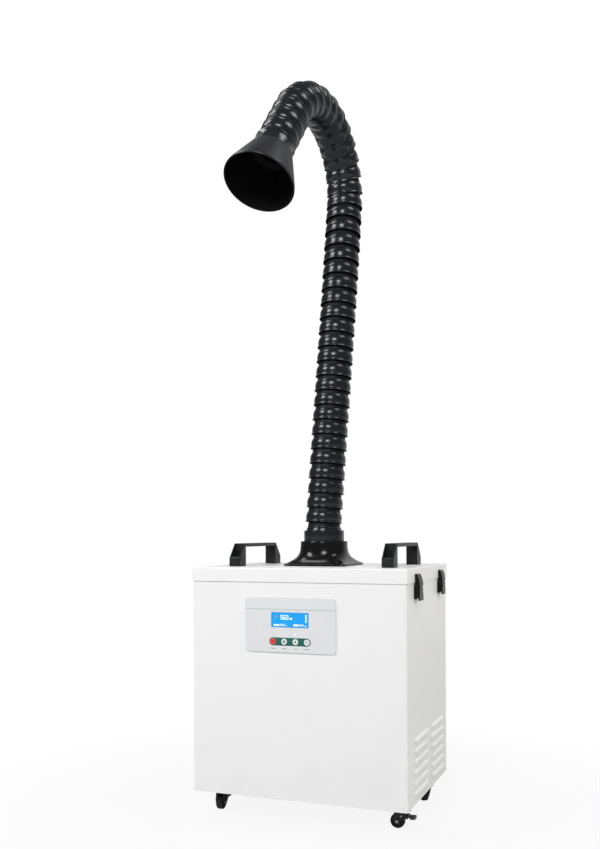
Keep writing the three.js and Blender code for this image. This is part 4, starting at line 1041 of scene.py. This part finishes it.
# Lamps: name, heading and height in degrees, distance and size in metres, power in watts
LAMPS = (
    ("lamp_front", 9.0, 29.0, 4.0, 1.3, 81.0), ("lamp_left", -44.0, 29.0, 4.0, 1.3, 81.0),
    ("lamp_over_right", 88.0, 60.0, 1.9, 0.6, 7.0), ("lamp_over_left", -78.0, 60.0, 1.9, 0.6, 7.0),
)
LAMP_TARGET = Vector((0, 0, 0.75))


def softbox(name, heading, height, distance, size, power):
    """A square lamp that looks at the middle of the object."""
    lamp = bpy.data.lights.new(name, "AREA")
    lamp.shape = "SQUARE"
    lamp.size = size
    lamp.energy = power
    turn, lift = math.radians(heading), math.radians(height)
    way = Vector((math.sin(turn) * math.cos(lift), -math.cos(turn) * math.cos(lift), math.sin(lift)))
    holder = bpy.data.objects.new(name, lamp)
    scene.collection.objects.link(holder)
    holder.location = LAMP_TARGET + way * distance
    holder.rotation_euler = (-way).to_track_quat("-Z", "Y").to_euler()


# Surroundings: spans of direction, to the right and to the back, and the light that they give
RIGHT_SPAN, RIGHT_LIGHT = (0.3, 1.0), (0.03, 1.85)
BACK_SPAN, BACK_LIGHT = (0.2, 1.0), (0.0, 1.4)
GLINT_SPAN, GLINT_LIGHT = (0.3, 1.0), (0.1, 1.0)
LEFT_TINT, RIGHT_TINT = (1, 1, 1), (1, 0.99, 0.91)


def surroundings():
    """Fill light from the right and the back, glints from the back, and plain white where it is seen."""
    world = bpy.data.worlds.new("studio")
    scene.world = world
    world.use_nodes = True
    tree = world.node_tree
    split = tree.nodes.new("ShaderNodeSeparateXYZ")
    tree.links.new(tree.nodes.new("ShaderNodeTexCoord").outputs["Generated"], split.inputs[0])
    right, back = split.outputs["X"], split.outputs["Y"]
    fill = tree.nodes["Background"]
    right_fill = ranged(tree, right, RIGHT_SPAN, RIGHT_LIGHT)
    back_fill = ranged(tree, back, BACK_SPAN, BACK_LIGHT)
    tree.links.new(reckoned(tree, "MAXIMUM", right_fill, back_fill), fill.inputs["Strength"])
    tree.links.new(two_tone(tree, right, LEFT_TINT, RIGHT_TINT), fill.inputs["Color"])
    glints = tree.nodes.new("ShaderNodeBackground")
    tree.links.new(ranged(tree, back, GLINT_SPAN, GLINT_LIGHT, smooth=True), glints.inputs["Strength"])
    white = tree.nodes.new("ShaderNodeBackground")
    white.inputs["Color"].default_value = (1, 1, 1, 1)
    white.inputs["Strength"].default_value = 1.0
    path = tree.nodes.new("ShaderNodeLightPath")
    seen = reckoned(tree, "MAXIMUM", path.outputs["Is Camera Ray"], path.outputs["Is Transmission Ray"])
    unseen = blended(tree, path.outputs["Is Glossy Ray"], fill.outputs[0], glints.outputs[0])
    shown = blended(tree, seen, unseen, white.outputs[0])
    tree.links.new(shown, tree.nodes["World Output"].inputs["Surface"])


# Floor: half its width in metres, its drop below the wheels in millimetres, and its tones
FLOOR_REACH = 12.0
FLOOR_DROP = 0.2
FLOOR_TONES = ((0.5, 0.5, 0.5), (0.49, 0.49, 0.49))
FLOOR_PATCH = 3.0
FLOOR_ROUGHNESS = 0.9
# How white a kind of ray sees it: span of distance from the middle, in metres, and the white share over it
FLOOR_WHITE = (
    ("Is Camera Ray", (0.35, 0.95), (0.9, 1.0)), ("Is Transmission Ray", (0.35, 0.95), (0.9, 1.0)),
    ("Is Glossy Ray", (1.5, 6.0), (0.0, 1.0)),
)


def pale_floor():
    """A floor that takes a pale shadow near the object and is lost in the white further out."""
    material, tree, surface, where = shader("pale_floor")
    patches = ranged(tree, cloud(tree, where, FLOOR_PATCH), NOISE_SPAN, FULL_SPAN)
    tree.links.new(two_tone(tree, patches, *FLOOR_TONES), surface.inputs["Base Color"])
    surface.inputs["Roughness"].default_value = FLOOR_ROUGHNESS
    distance = tree.nodes.new("ShaderNodeVectorMath")
    distance.operation = "LENGTH"
    tree.links.new(where, distance.inputs[0])
    path = tree.nodes.new("ShaderNodeLightPath")
    share = None
    for kind, span, white in FLOOR_WHITE:
        fade = ranged(tree, distance.outputs["Value"], span, white, smooth=True)
        part = reckoned(tree, "MULTIPLY", fade, path.outputs[kind])
        share = reckoned(tree, "MAXIMUM", share, part) if share else part
    paper = tree.nodes.new("ShaderNodeEmission")
    shown = blended(tree, share, surface.outputs[0], paper.outputs[0])
    tree.links.new(shown, tree.nodes["Material Output"].inputs["Surface"])
    return material


def floor():
    bm = bmesh.new()
    bmesh.ops.create_grid(bm, x_segments=2, y_segments=2, size=FLOOR_REACH)
    bmesh.ops.translate(bm, vec=(0, 0, (FLOOR - FLOOR_DROP) * MM), verts=bm.verts)
    mesh = bpy.data.meshes.new("studio_floor")
    bm.to_mesh(mesh)
    bm.free()
    mesh.materials.append(pale_floor())
    ground = bpy.data.objects.new("studio_floor", mesh)
    scene.collection.objects.link(ground)


camera()
hood(arm())
collar()
flange()
cabinet()
lid()
rear()
panel()
handles()
latches()
casters()
carried_over()
for each_lamp in LAMPS:
    softbox(*each_lamp)
surroundings()
floor()
scene.view_settings.view_transform = "Standard"
